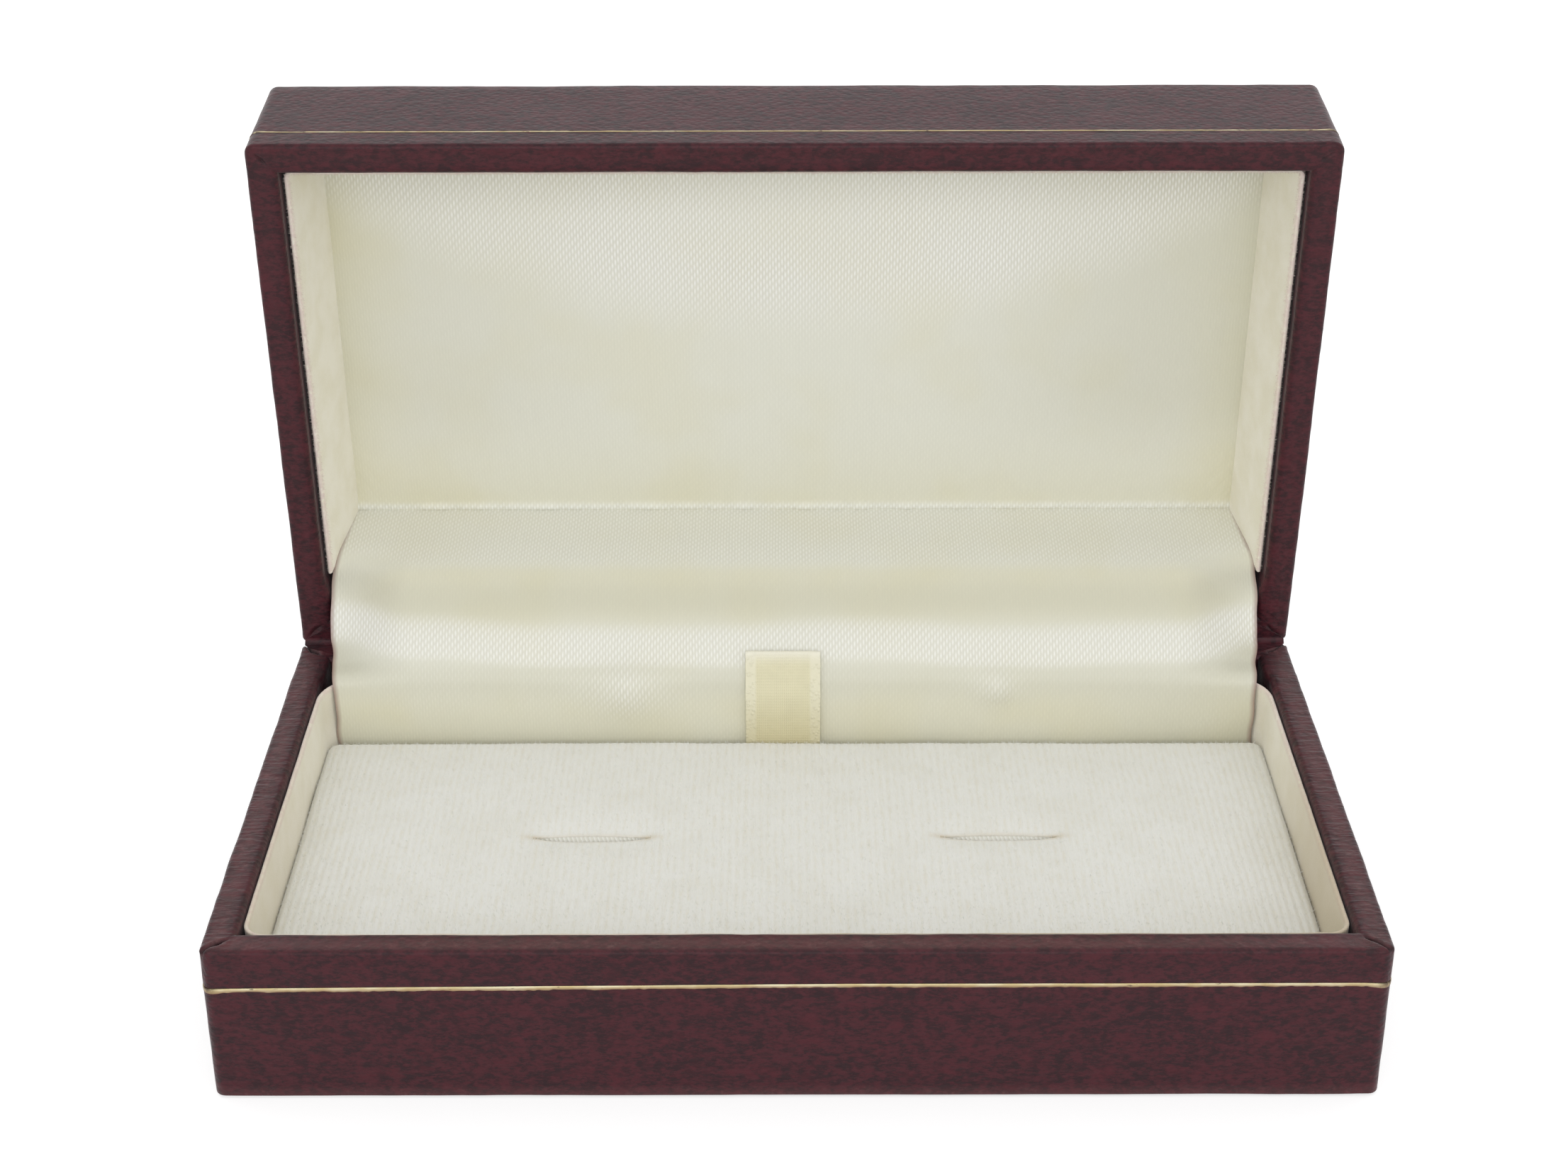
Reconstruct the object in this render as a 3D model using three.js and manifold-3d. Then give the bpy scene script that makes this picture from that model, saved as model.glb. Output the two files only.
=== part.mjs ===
// A hinged cufflink display box, open, in millimetres: X to the right, Y to the back, Z up.
// The origin is the middle of the underside. The lid turns on the back edge of the rim.
import * as THREE from "three";
import { mergeVertices } from "three/addons/utils/BufferGeometryUtils.js";
import Module from "manifold-3d";

const wasm = await Module();
wasm.setup();

// The box
const boxWidth = 95;
const boxDepth = 51.4;
const baseHeight = 14.2;
const lidHeight = 13.75;
const openAngle = 84.5; // degrees between the two rims as the box stands open
const closedGap = 0.3; // between the two rims when shut
const rimWidth = 2.6;

// Coverings and how closely pieces sit
const leatherThickness = 0.4;
const glueGap = 0.1; // behind everything that is stuck down
const seamGap = 0.05; // beside the gold line
const edgeRadius = 0.6; // outer edges of the covered walls
const innerEdgeRadius = 0.5; // where the leather turns down inside the rim
const cornerRadius = 1.1; // upright corners of the box, in plan
const leastRadius = 0.12; // the sharpest corner that a folded covering makes
const baseBandHeight = 3.1; // leather above the gold line, base
const lidBandHeight = 2.65; // and lid
const goldLineHeight = 0.4;
const goldLineProud = 0.06;
const insideTurn = 5.5; // how far the rim leather runs down inside
const floorTurn = 6; // how far the body leather runs in under the floor
const capTurn = 6; // where the lid's top face starts to be drawn round to its edges
const coverThickness = 0.25;
const coverInset = 1.6;

// Carcass boards
const boardThickness = rimWidth - 2 * (leatherThickness + glueGap);
const floorThickness = 1.5;
const topThickness = 1;

// Velour-covered card band inside both halves
const linerThickness = 0.45;
const linerGap = 0.15; // between the rim's leather and the band
const baseLinerDrop = 0.4; // band below the rim, base
const lidLinerDrop = 1.3; // and lid
const baseLinerLean = 0.2; // how far the band leans in at its foot, base
const lidLinerLean = 1.4; // and lid
const baseLinerFrontRadius = 2.4;
const lidLinerFrontRadius = 1.4;
const linerBackRadius = 4.5;
const linerBackSetback = 5.6; // outer back face to the band's curled ends
const linerBackReach = 5.5; // how far each end curls in behind the satin
const linerEdgeRadius = 0.2;
const floorLiningThickness = 0.3;

// Hinge space along the back
const flapSetback = 8.1; // from the outer back face to the satin's front
const flapThickness = 0.25;
const flapSideGap = 3.9; // from each side of the box to the satin, across the hinges
const flapBaseSideGap = 4.2; // down in the base
const flapLidSideGap = 5; // at the crease of the ceiling
const flapBump = 0.45; // where each spring bow presses on it
const flapBumpWidth = 2.6;
const flapBumpHeight = 1.8;
const flapTuck = 0.9; // how far it runs in past the ceiling's face
const hingeCentres = { left: -15.8, right: 19 };

// Padded ceiling of the lid
const padCardThickness = 0.5;
const padWaddingThickness = 1;
const padSatinThickness = 0.25;
const padCrown = 0.9;
const padEdgeDrop = 0.7; // how far the padding draws down at its edges
const padEdgeShare = 0.09;

// Insert
const insertClearance = 0.25;
const insertCardThickness = 0.8;
const foamThickness = 4;
const velvetThickness = 0.6;
const velvetEdgeRadius = 1.1;
const insertCrown = 0.25;
const insertCrownReach = 14; // from the edges in to where the pad is full
const insertBackRadius = 1;
const insertBackGap = 0.7; // room for the ribbon between the pad and the satin
const slotOffset = 18.1; // each slot's centre from the middle
const slotFromBack = 17; // slots to the insert's back edge
const slotLength = 10.6;
const slotWidth = 1.1;
const slotDepth = 4;
const tapeThickness = 0.2;
const tapeEndGap = 0.3;
const tapeDrop = 0.2; // the tape's edges below the velvet

// Ribbon
const tabWidth = 7;
const tabOffset = -1.1;
const tabThickness = 0.2;
const tabFoldRadius = 0.16; // middle of each leg to the middle of the fold
const tabRise = 8.5; // above the insert
const tabLean = 1.4; // how far its top leans back to the satin
const tabBend = 5.2; // height over the insert at which it starts to lean

// Spring hinges
const leafWidth = 11;
const leafThickness = 0.6;
const leafRimGap = 3; // leaf to the rim plane
const leafBoardGap = 0.7; // and to the board at its other end
const earThickness = 0.6;
const earHeight = 2.6;
const earLength = 3.6;
const pinRadius = 0.5;
const pinClearance = 0.1;
const pinLift = 1.7; // pin above the leaf
const pinFromRim = 7; // pin to the rim plane, along the leaf
const bowWidth = 5.6;
const bowThickness = 0.4;
const bowCurlGap = 0.12; // between the pin and the bow curled round it
const bowBulge = 7.3; // furthest point of the bow in front of the hinge line
const bowBulgeDrop = 1; // and below the rim
const bowShoulderOut = 5.9; // where it turns up to the lid, in front of the hinge line
const bowShoulderRise = 1.8; // and over the rim
const bowCurlTurn = 240; // degrees that each end wraps its pin
const hingeLeatherThickness = 0.3;
const hingeLeatherInside = 6.5; // how far it runs into each half
const hingeLeatherSideGap = 0.3;

// Fineness of the curves
const cornerSteps = 4;
const edgeSteps = 3;
const padStepsAcross = 20;
const padStepsUp = 12;
const flapStepsAcross = 20;
const flapStepsAlong = 22;
const crownSteps = 5;
const tabSteps = 8;
const foldSteps = 6;
const bowSteps = 16;
const curlSteps = 10;
const earSides = 8;
const slotSides = 6;
const pinSides = 20;
const cutOverrun = 1;

const degree = Math.PI / 180;
const halfWidth = boxWidth / 2;
const halfDepth = boxDepth / 2;

// Heights and places that follow from the sizes above
const hingeY = halfDepth;
const hingeZ = baseHeight + closedGap / 2;
const wrapBottom = coverThickness + seamGap;
const floorBottom = wrapBottom + leatherThickness + glueGap;
const floorTop = floorBottom + floorThickness;
const liningBottom = floorTop + glueGap;
const liningTop = liningBottom + floorLiningThickness;
const insertBottom = liningTop + insertClearance;
const foamBottom = insertBottom + insertCardThickness + glueGap;
const foamTop = foamBottom + foamThickness;
const velvetTop = foamTop + glueGap + velvetThickness;
const rimInside = rimWidth + linerGap;
const linerInside = rimInside + linerThickness;
const insertInside = linerInside + baseLinerLean + insertClearance;
const ceilingInside = linerInside + lidLinerLean + insertClearance;
const insertBack = halfDepth - flapSetback - insertBackGap;
const hingeStack = 2 * glueGap + hingeLeatherThickness;
const flapHalfWidth = halfWidth - flapSideGap;
const flapBaseHalfWidth = halfWidth - flapBaseSideGap;
const flapLidHalfWidth = halfWidth - flapLidSideGap;
const boardInset = leatherThickness + glueGap;
const lidBoardZ = lidHeight - boardInset - topThickness;
const padCardZ = lidBoardZ - glueGap - padCardThickness;
const padWaddingZ = padCardZ - glueGap - padWaddingThickness;
const padSatinZ = padWaddingZ - glueGap - padSatinThickness;

// Materials
function finish(color, roughness, metalness = 0) {
  return new THREE.MeshStandardMaterial({ color, roughness, metalness });
}
const leather = finish(0x53303a, 0.5);
const gold = finish(0xcdb97d, 0.35, 0.8);
const board = finish(0x9a8f7a, 0.9);
const velour = finish(0xd0cbb0, 0.85);
const satin = finish(0xe4e2cc, 0.35);
const velvet = finish(0xdcdcd2, 0.95);
const foam = finish(0xe6e2d2, 0.95);
const steel = finish(0x9a9c9f, 0.35, 1);
const ribbon = finish(0xe6e2c4, 0.5);
const bottomPaper = finish(0x3d2a2e, 0.9);

// Turns a closed surface's faces outwards.
function facingOut(geometry) {
  const p = geometry.attributes.position;
  const index = geometry.index.array;
  const a = new THREE.Vector3();
  const b = new THREE.Vector3();
  const c = new THREE.Vector3();
  let volume = 0;
  for (let i = 0; i < index.length; i += 3) {
    a.fromBufferAttribute(p, index[i]);
    b.fromBufferAttribute(p, index[i + 1]);
    c.fromBufferAttribute(p, index[i + 2]);
    volume += a.dot(b.cross(c));
  }
  if (volume < 0) {
    for (let i = 0; i < index.length; i += 3) {
      [index[i + 1], index[i + 2]] = [index[i + 2], index[i + 1]];
    }
  }
  return geometry;
}

function surface(points, triangles) {
  const geometry = new THREE.BufferGeometry().setFromPoints(points);
  geometry.setIndex(triangles);
  return facingOut(geometry);
}

// A four-cornered outline at one height, with rounded corners. The number of points never changes,
// so outlines at other heights and insets join to it point by point.
function roundedLoop(plan, inset, z) {
  const left = plan.left + inset;
  const right = plan.right - inset;
  const front = plan.front + inset;
  const back = plan.back - inset;
  const frontRadius = Math.max(plan.frontRadius - inset, leastRadius);
  const backRadius = Math.max(plan.backRadius - inset, leastRadius);
  const corners = [
    [right - backRadius, back - backRadius, backRadius],
    [left + backRadius, back - backRadius, backRadius],
    [left + frontRadius, front + frontRadius, frontRadius],
    [right - frontRadius, front + frontRadius, frontRadius],
  ];
  return corners.flatMap(([x, y, radius], quarter) =>
    Array.from({ length: cornerSteps + 1 }, (_, step) => {
      const angle = ((quarter + step / cornerSteps) * Math.PI) / 2;
      return new THREE.Vector3(x + radius * Math.cos(angle), y + radius * Math.sin(angle), z);
    }),
  );
}

// Joins outlines of equal length, either into a ring or into a solid with two flat ends.
function loft(loops, ring) {
  const count = loops[0].length;
  const triangles = [];
  const last = ring ? loops.length : loops.length - 1;
  for (let k = 0; k < last; k++) {
    const here = k * count;
    const next = ((k + 1) % loops.length) * count;
    for (let i = 0; i < count; i++) {
      const j = (i + 1) % count;
      triangles.push(here + i, here + j, next + j, here + i, next + j, next + i);
    }
  }
  if (!ring) {
    const top = (loops.length - 1) * count;
    for (let i = 1; i + 1 < count; i++) {
      triangles.push(0, i + 1, i, top, top + i, top + i + 1);
    }
  }
  return surface(loops.flat(), triangles);
}

// A section of [inset, height] points carried round a plan.
function frameOf(plan, section) {
  return loft(section.map(([inset, z]) => roundedLoop(plan, inset, z)), true);
}

// The same, but the first and the last outline are filled in.
function trayOf(plan, section) {
  return loft(section.map(([inset, z]) => roundedLoop(plan, inset, z)), false);
}

// A quarter round in a section, from one angle to another.
function quarterRound(inset, z, radius, from, to) {
  return Array.from({ length: edgeSteps + 1 }, (_, step) => {
    const angle = (from + ((to - from) * step) / edgeSteps) * degree;
    return [inset + radius * Math.cos(angle), z + radius * Math.sin(angle)];
  });
}

// Joining and cutting
function solidOf(geometry) {
  const bare = geometry.clone();
  bare.deleteAttribute("normal");
  bare.deleteAttribute("uv");
  const merged = mergeVertices(bare);
  return new wasm.Manifold(
    new wasm.Mesh({
      numProp: 3,
      vertProperties: new Float32Array(merged.attributes.position.array),
      triVerts: new Uint32Array(merged.index.array),
    }),
  );
}
function geometryOf(solid) {
  const mesh = solid.getMesh();
  const geometry = new THREE.BufferGeometry();
  geometry.setAttribute("position", new THREE.BufferAttribute(mesh.vertProperties, mesh.numProp));
  geometry.setIndex(new THREE.BufferAttribute(mesh.triVerts, 1));
  return geometry;
}
function cut(geometry, ...tools) {
  return geometryOf(tools.reduce((solid, tool) => solid.subtract(solidOf(tool)), solidOf(geometry)));
}
function join(...geometries) {
  return geometryOf(geometries.map(solidOf).reduce((all, next) => all.add(next)));
}
function block(x0, x1, y0, y1, z0, z1) {
  const box = new THREE.BoxGeometry(x1 - x0, y1 - y0, z1 - z0);
  return box.translate((x0 + x1) / 2, (y0 + y1) / 2, (z0 + z1) / 2);
}

// A flat outline in plan, raised to a slab.
function slab(points, z, height) {
  const shape = new THREE.Shape(points.map(([x, y]) => new THREE.Vector2(x, y)));
  return new THREE.ExtrudeGeometry(shape, { depth: height, bevelEnabled: false }).translate(0, 0, z);
}

// A thin sheet that follows a line of [y, z, half width] points and reaches across in X.
// swell says how far it stands out of that line, towards its right as the line goes up.
function sheet(line, thickness, centre, stepsAcross, swell = () => 0) {
  const points = [];
  for (const side of [1, -1]) {
    line.forEach(([y, z, reach], i) => {
      const before = line[Math.max(i - 1, 0)];
      const after = line[Math.min(i + 1, line.length - 1)];
      const along = new THREE.Vector2(after[0] - before[0], after[1] - before[1]).normalize();
      for (let j = 0; j <= stepsAcross; j++) {
        const x = centre + reach * ((2 * j) / stepsAcross - 1);
        const out = (side * thickness) / 2 + swell(x, y, z);
        points.push(new THREE.Vector3(x, y + along.y * out, z - along.x * out));
      }
    });
  }
  return surface(points, gridTriangles(stepsAcross + 1, line.length));
}

// A smooth line through [y, z, half width] points.
function smoothLine(points, steps) {
  const curve = new THREE.CatmullRomCurve3(
    points.map(([y, z, reach]) => new THREE.Vector3(reach, y, z)),
    false,
    "centripetal",
  );
  return curve.getSpacedPoints(steps).map((p) => [p.y, p.z, p.x]);
}

// Groups: the base and the insert stand in the box's own frame. The lid is built shut, with its rim
// plane at zero and its plan over the base's, then turned open about the hinge line.
const box = new THREE.Group();
const lidTurn = new THREE.Group();
const lid = new THREE.Group();
lidTurn.position.set(0, hingeY, hingeZ);
lidTurn.rotation.x = -openAngle * degree;
lid.position.set(0, -halfDepth, closedGap / 2);
lidTurn.add(lid);
box.add(lidTurn);

function place(group, name, geometry, material) {
  const mesh = new THREE.Mesh(geometry, material);
  mesh.name = name;
  group.add(mesh);
  return mesh;
}

// Where a point of the lid lies in the open box: out from the hinge's back face, up from the lid's rim.
function inOpenBox(fromBack, fromRim) {
  const turned = new THREE.Vector3(0, -fromBack, fromRim + closedGap / 2);
  turned.applyAxisAngle(new THREE.Vector3(1, 0, 0), -openAngle * degree);
  return [hingeY + turned.y, hingeZ + turned.z];
}

const outerPlan = {
  left: -halfWidth,
  right: halfWidth,
  front: -halfDepth,
  back: halfDepth,
  frontRadius: cornerRadius,
  backRadius: cornerRadius,
};
const goldPlan = {
  left: -halfWidth - goldLineProud,
  right: halfWidth + goldLineProud,
  front: -halfDepth - goldLineProud,
  back: halfDepth + goldLineProud,
  frontRadius: cornerRadius + goldLineProud,
  backRadius: cornerRadius + goldLineProud,
};

// Leather band over the rim: up the outside, over a rounded edge, and down inside. The rim is at height
// rimZ, and up is the way from the walls to the rim.
function rimWrap(rimZ, up, bandHeight) {
  const turned = rimWidth - leatherThickness;
  const section = [
    [0, rimZ - up * bandHeight],
    ...quarterRound(edgeRadius, rimZ - up * edgeRadius, edgeRadius, 180, 180 - up * 90),
    ...quarterRound(
      rimWidth - innerEdgeRadius,
      rimZ - up * innerEdgeRadius,
      innerEdgeRadius,
      up * 90,
      0,
    ),
    [rimWidth, rimZ - up * insideTurn],
    [turned, rimZ - up * insideTurn],
    [turned, rimZ - up * leatherThickness],
    [leatherThickness, rimZ - up * leatherThickness],
    [leatherThickness, rimZ - up * bandHeight],
  ];
  return frameOf(outerPlan, section);
}

function goldLine(rimZ, up, bandHeight) {
  const near = rimZ - up * (bandHeight + seamGap);
  const far = near - up * goldLineHeight;
  const inner = leatherThickness + goldLineProud;
  return frameOf(goldPlan, [
    [0, near],
    [inner, near],
    [inner, far],
    [0, far],
  ]);
}

// Four mitred boards inside the covering, their outer corners eased to clear its rounded corners.
function carcassWalls(group, prefix, z, height) {
  const ease = cornerRadius;
  const mitre = boardThickness;
  const wall = (half, depth) => {
    const x = half - boardInset - glueGap / 2;
    const y = boardInset - depth;
    const rightHalf = [
      [x - ease, y],
      [x - ease / 2, y + ease / 2],
      [x - mitre, y + mitre],
    ];
    const leftHalf = rightHalf.map(([across, along]) => [-across, along]).reverse();
    return slab([...rightHalf, ...leftHalf], z, height);
  };
  place(group, prefix + "_wall_front", wall(halfWidth, halfDepth), board);
  place(group, prefix + "_wall_back", wall(halfWidth, halfDepth).rotateZ(Math.PI), board);
  place(group, prefix + "_wall_right", wall(halfDepth, halfWidth).rotateZ(Math.PI / 2), board);
  place(group, prefix + "_wall_left", wall(halfDepth, halfWidth).rotateZ(-Math.PI / 2), board);
}

function carcassFloor(z, thickness) {
  return trayOf(outerPlan, [
    [boardInset, z],
    [boardInset, z + thickness],
  ]);
}

// The card band round the inside, its shown edge rounded and its foot leaning in. up is the way from
// its foot to that edge.
function linerFrame(plan, footZ, edgeZ, up, lean) {
  const r = linerEdgeRadius;
  const centreZ = edgeZ - up * r;
  return frameOf(plan, [
    [lean, footZ],
    ...quarterRound(r, centreZ, r, 180, 180 - up * 90),
    ...quarterRound(linerThickness - r, centreZ, r, up * 90, 0),
    [lean + linerThickness, footZ],
  ]);
}
function linerPlan(back, frontRadius) {
  return {
    left: -halfWidth + rimInside,
    right: halfWidth - rimInside,
    front: -halfDepth + rimInside,
    back,
    frontRadius,
    backRadius: linerBackRadius,
  };
}

// Base
function makeBase() {
  const cover = trayOf(outerPlan, [
    [coverInset, 0],
    [coverInset, coverThickness],
  ]);
  place(box, "base_bottom_cover", cover, bottomPaper);

  const bandBottom = baseHeight - baseBandHeight - 2 * seamGap - goldLineHeight;
  const bodySection = [
    [0, bandBottom],
    ...quarterRound(edgeRadius, wrapBottom + edgeRadius, edgeRadius, 180, 270),
    [floorTurn, wrapBottom],
    [floorTurn, wrapBottom + leatherThickness],
    [leatherThickness, wrapBottom + leatherThickness],
    [leatherThickness, bandBottom],
  ];
  place(box, "base_body_wrap", frameOf(outerPlan, bodySection), leather);
  place(box, "base_gold_line", goldLine(baseHeight, 1, baseBandHeight), gold);
  place(box, "base_rim_wrap", rimWrap(baseHeight, 1, baseBandHeight), leather);

  place(box, "base_floor_board", carcassFloor(floorBottom, floorThickness), board);
  const wallBottom = floorTop + glueGap;
  const wallTop = baseHeight - boardInset;
  carcassWalls(box, "base", wallBottom, wallTop - wallBottom);

  const lining = trayOf(outerPlan, [
    [rimWidth + glueGap, liningBottom],
    [rimWidth + glueGap, liningTop],
  ]);
  place(box, "base_floor_lining", lining, velour);

  // The liner's two ends curl in behind the satin and stop short of the hinges.
  const linerBack = halfDepth - linerBackSetback;
  const linerFoot = liningTop + glueGap;
  const linerEdge = baseHeight - baseLinerDrop;
  const band = linerFrame(
    linerPlan(linerBack, baseLinerFrontRadius),
    linerFoot,
    linerEdge,
    1,
    baseLinerLean,
  );
  const mouth = halfWidth - rimInside - linerBackReach;
  const gap = block(
    -mouth,
    mouth,
    linerBack - linerBackRadius,
    linerBack + cutOverrun,
    linerFoot - cutOverrun,
    linerEdge + cutOverrun,
  );
  place(box, "base_liner", cut(band, gap), velour);
}

// Lid
function makeLid() {
  const bandTop = lidBandHeight + 2 * seamGap + goldLineHeight;
  const bodySection = [
    [capTurn, lidHeight],
    ...quarterRound(edgeRadius, lidHeight - edgeRadius, edgeRadius, 90, 180),
    [0, bandTop],
    [leatherThickness, bandTop],
    [leatherThickness, lidHeight - leatherThickness],
    [capTurn, lidHeight - leatherThickness],
  ];
  place(lid, "lid_body_wrap", trayOf(outerPlan, bodySection), leather);
  place(lid, "lid_gold_line", goldLine(0, -1, lidBandHeight), gold);
  place(lid, "lid_rim_wrap", rimWrap(0, -1, lidBandHeight), leather);

  place(lid, "lid_top_board", carcassFloor(lidBoardZ, topThickness), board);
  carcassWalls(lid, "lid", boardInset, lidBoardZ - glueGap - boardInset);

  // The liner stops just behind the satin.
  const linerBack = halfDepth - flapSetback + flapThickness + glueGap;
  const footZ = lidBoardZ - glueGap;
  const band = linerFrame(
    linerPlan(halfDepth, lidLinerFrontRadius),
    footZ,
    lidLinerDrop,
    -1,
    lidLinerLean,
  );
  const tail = block(-halfWidth, halfWidth, linerBack, boxDepth, -cutOverrun, footZ + cutOverrun);
  place(lid, "lid_liner", cut(band, tail), velour);
}

// The padded ceiling: card, wadding and satin, drawn down at the edges and fullest in the middle.
function makeCeiling() {
  const plan = {
    left: -halfWidth + ceilingInside,
    right: halfWidth - ceilingInside,
    front: -halfDepth + ceilingInside,
    back: halfDepth - flapSetback - insertClearance,
  };
  const cardTop = padCardZ + padCardThickness;
  const card = block(plan.left, plan.right, plan.front, plan.back, padCardZ, cardTop);
  place(lid, "lid_pad_card", card, board);
  place(lid, "lid_pad_wadding", padded(plan, padCardZ - glueGap, padWaddingZ), foam);
  place(lid, "lid_pad_satin", padded(plan, padWaddingZ - glueGap, padSatinZ, true), satin);
}

// How full the padding is at a place in its plan: nought along its edges, one in the middle.
function fullness(plan, x, y) {
  const across = Math.min(x - plan.left, plan.right - x) / (plan.right - plan.left);
  const along = Math.min(y - plan.front, plan.back - y) / (plan.back - plan.front);
  const ease = (share) => 1 - Math.exp(-share / padEdgeShare);
  return ease(across) * ease(along);
}

// A slab whose lower face swells down. With follow, its upper face swells the same way.
function padded(plan, topZ, faceZ, follow = false) {
  const points = [];
  const row = padStepsAcross + 1;
  const rows = padStepsUp + 1;
  const spread = (step, steps) => (1 - Math.cos((step / steps) * Math.PI)) / 2;
  for (const lower of [true, false]) {
    for (let i = 0; i < rows; i++) {
      const y = plan.front + (plan.back - plan.front) * spread(i, padStepsUp);
      for (let j = 0; j < row; j++) {
        const x = plan.left + (plan.right - plan.left) * spread(j, padStepsAcross);
        const swell = padCrown * fullness(plan, x, y) - padEdgeDrop * (1 - fullness(plan, x, y));
        const z = lower ? faceZ - swell : topZ - (follow ? swell : 0);
        points.push(new THREE.Vector3(x, y, z));
      }
    }
  }
  return surface(points, gridTriangles(row, rows));
}

// Triangles of two grids of points, joined all round their edges.
function gridTriangles(row, rows) {
  const size = row * rows;
  const triangles = [];
  for (let i = 0; i + 1 < rows; i++) {
    for (let j = 0; j + 1 < row; j++) {
      const a = i * row + j;
      const b = a + row;
      triangles.push(a, a + 1, b + 1, a, b + 1, b);
      triangles.push(a + size, b + size + 1, a + size + 1, a + size, b + size, b + size + 1);
    }
  }
  const rim = [];
  for (let j = 0; j + 1 < row; j++) rim.push(j);
  for (let i = 0; i + 1 < rows; i++) rim.push(i * row + row - 1);
  for (let j = row - 1; j > 0; j--) rim.push((rows - 1) * row + j);
  for (let i = rows - 1; i > 0; i--) rim.push(i * row);
  rim.forEach((a, k) => {
    const b = rim[(k + 1) % rim.length];
    triangles.push(a, a + size, b + size, a, b + size, b);
  });
  return triangles;
}

// Spring hinges: a leaf with two ears on each back wall, a pin through the ears, and a steel bow that
// hooks round both pins. The bow pulls the lid open or shut past the line of the two pins.
function hingeLeaf(group, half, side, rimZ, boardZ, up) {
  const centre = hingeCentres[side];
  const back = halfDepth - rimWidth - hingeStack;
  const face = back - leafThickness;
  const near = rimZ - up * leafRimGap;
  const far = boardZ + up * leafBoardGap;
  const left = centre - leafWidth / 2;
  const right = centre + leafWidth / 2;
  const plate = block(left, right, face, back, Math.min(near, far), Math.max(near, far));
  const pinZ = rimZ - up * pinFromRim;
  const ears = [left, right - earThickness].map((x) =>
    hingeEar().translate(x, face, pinZ),
  );
  place(group, "hinge_leaf_" + half + "_" + side, join(plate, ...ears), steel);

  const pin = new THREE.CylinderGeometry(pinRadius, pinRadius, leafWidth, pinSides);
  pin.rotateZ(Math.PI / 2).translate(centre, face - pinLift, pinZ);
  place(group, "hinge_pin_" + half + "_" + side, pin, steel);
}

// A round-ended ear with the pin's hole, its root sunk into the plate.
function hingeEar() {
  const half = earLength / 2;
  const shape = new THREE.Shape();
  shape.moveTo(-half, leafThickness / 2);
  shape.lineTo(-half, half - earHeight);
  shape.absarc(0, half - earHeight, half, Math.PI, 2 * Math.PI, false);
  shape.lineTo(half, leafThickness / 2);
  shape.closePath();
  const hole = new THREE.Path();
  hole.absarc(0, -pinLift, pinRadius + pinClearance, 0, 2 * Math.PI, true);
  shape.holes.push(hole);
  const ear = new THREE.ExtrudeGeometry(shape, {
    depth: earThickness,
    bevelEnabled: false,
    curveSegments: earSides,
  });
  return ear.rotateY(Math.PI / 2);
}

// A bow that starts curled round the lower pin and ends curled round the upper one.
function springBow(side) {
  const reach = bowWidth / 2;
  const pinFromBack = rimWidth + hingeStack + leafThickness + pinLift;
  const lower = [halfDepth - pinFromBack, baseHeight - pinFromRim];
  const upper = inOpenBox(pinFromBack, pinFromRim);
  const curl = pinRadius + bowCurlGap + bowThickness / 2;
  const curled = ([y, z], from) =>
    Array.from({ length: curlSteps + 1 }, (_, step) => {
      const angle = (from - (bowCurlTurn * step) / curlSteps) * degree;
      return [y + curl * Math.cos(angle), z + curl * Math.sin(angle), reach];
    });
  const front = [hingeY - bowBulge, baseHeight - bowBulgeDrop, reach];
  const middle = smoothLine(
    [
      [lower[0] - curl, lower[1], reach],
      [(lower[0] - curl + front[0]) / 2 - bowThickness / 2, (lower[1] + front[1]) / 2, reach],
      front,
      [hingeY - bowShoulderOut, baseHeight + bowShoulderRise, reach],
      [upper[0] - pinFromRim, upper[1] + curl / 2, reach],
      [upper[0], upper[1] + curl, reach],
    ],
    bowSteps,
  );
  const line = [
    ...curled(lower, 180 + bowCurlTurn).slice(0, -1),
    ...middle,
    ...curled(upper, 90).slice(1),
  ];
  place(box, "spring_bow_" + side, sheet(line, bowThickness, hingeCentres[side], 1), steel);
}

// Leather strip from inside the base, over its back rim, up the lid's back rim and into the lid.
function makeHingeLeather() {
  const out = glueGap + hingeLeatherThickness / 2;
  const inside = halfWidth - rimWidth - hingeLeatherSideGap;
  const over = halfWidth - hingeLeatherSideGap;
  const turn = innerEdgeRadius;
  const round = quarterRound(rimWidth - turn, turn, turn + out, 0, -90);
  // Distance from the outer back face, distance from the rim into its half, half width.
  const half = [
    [rimWidth + out, hingeLeatherInside, inside],
    ...round.slice(0, -1).map((point) => [...point, inside]),
    [rimWidth - turn, -out, over],
    [turn + out, -out, over],
  ];
  const line = [
    ...half.map(([fromBack, fromRim, reach]) => [
      halfDepth - fromBack,
      baseHeight - fromRim,
      reach,
    ]),
    ...half
      .slice()
      .reverse()
      .map(([fromBack, fromRim, reach]) => [...inOpenBox(fromBack, fromRim), reach]),
  ];
  place(box, "hinge_leather", sheet(line, hingeLeatherThickness, 0, 1), leather);
}

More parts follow.
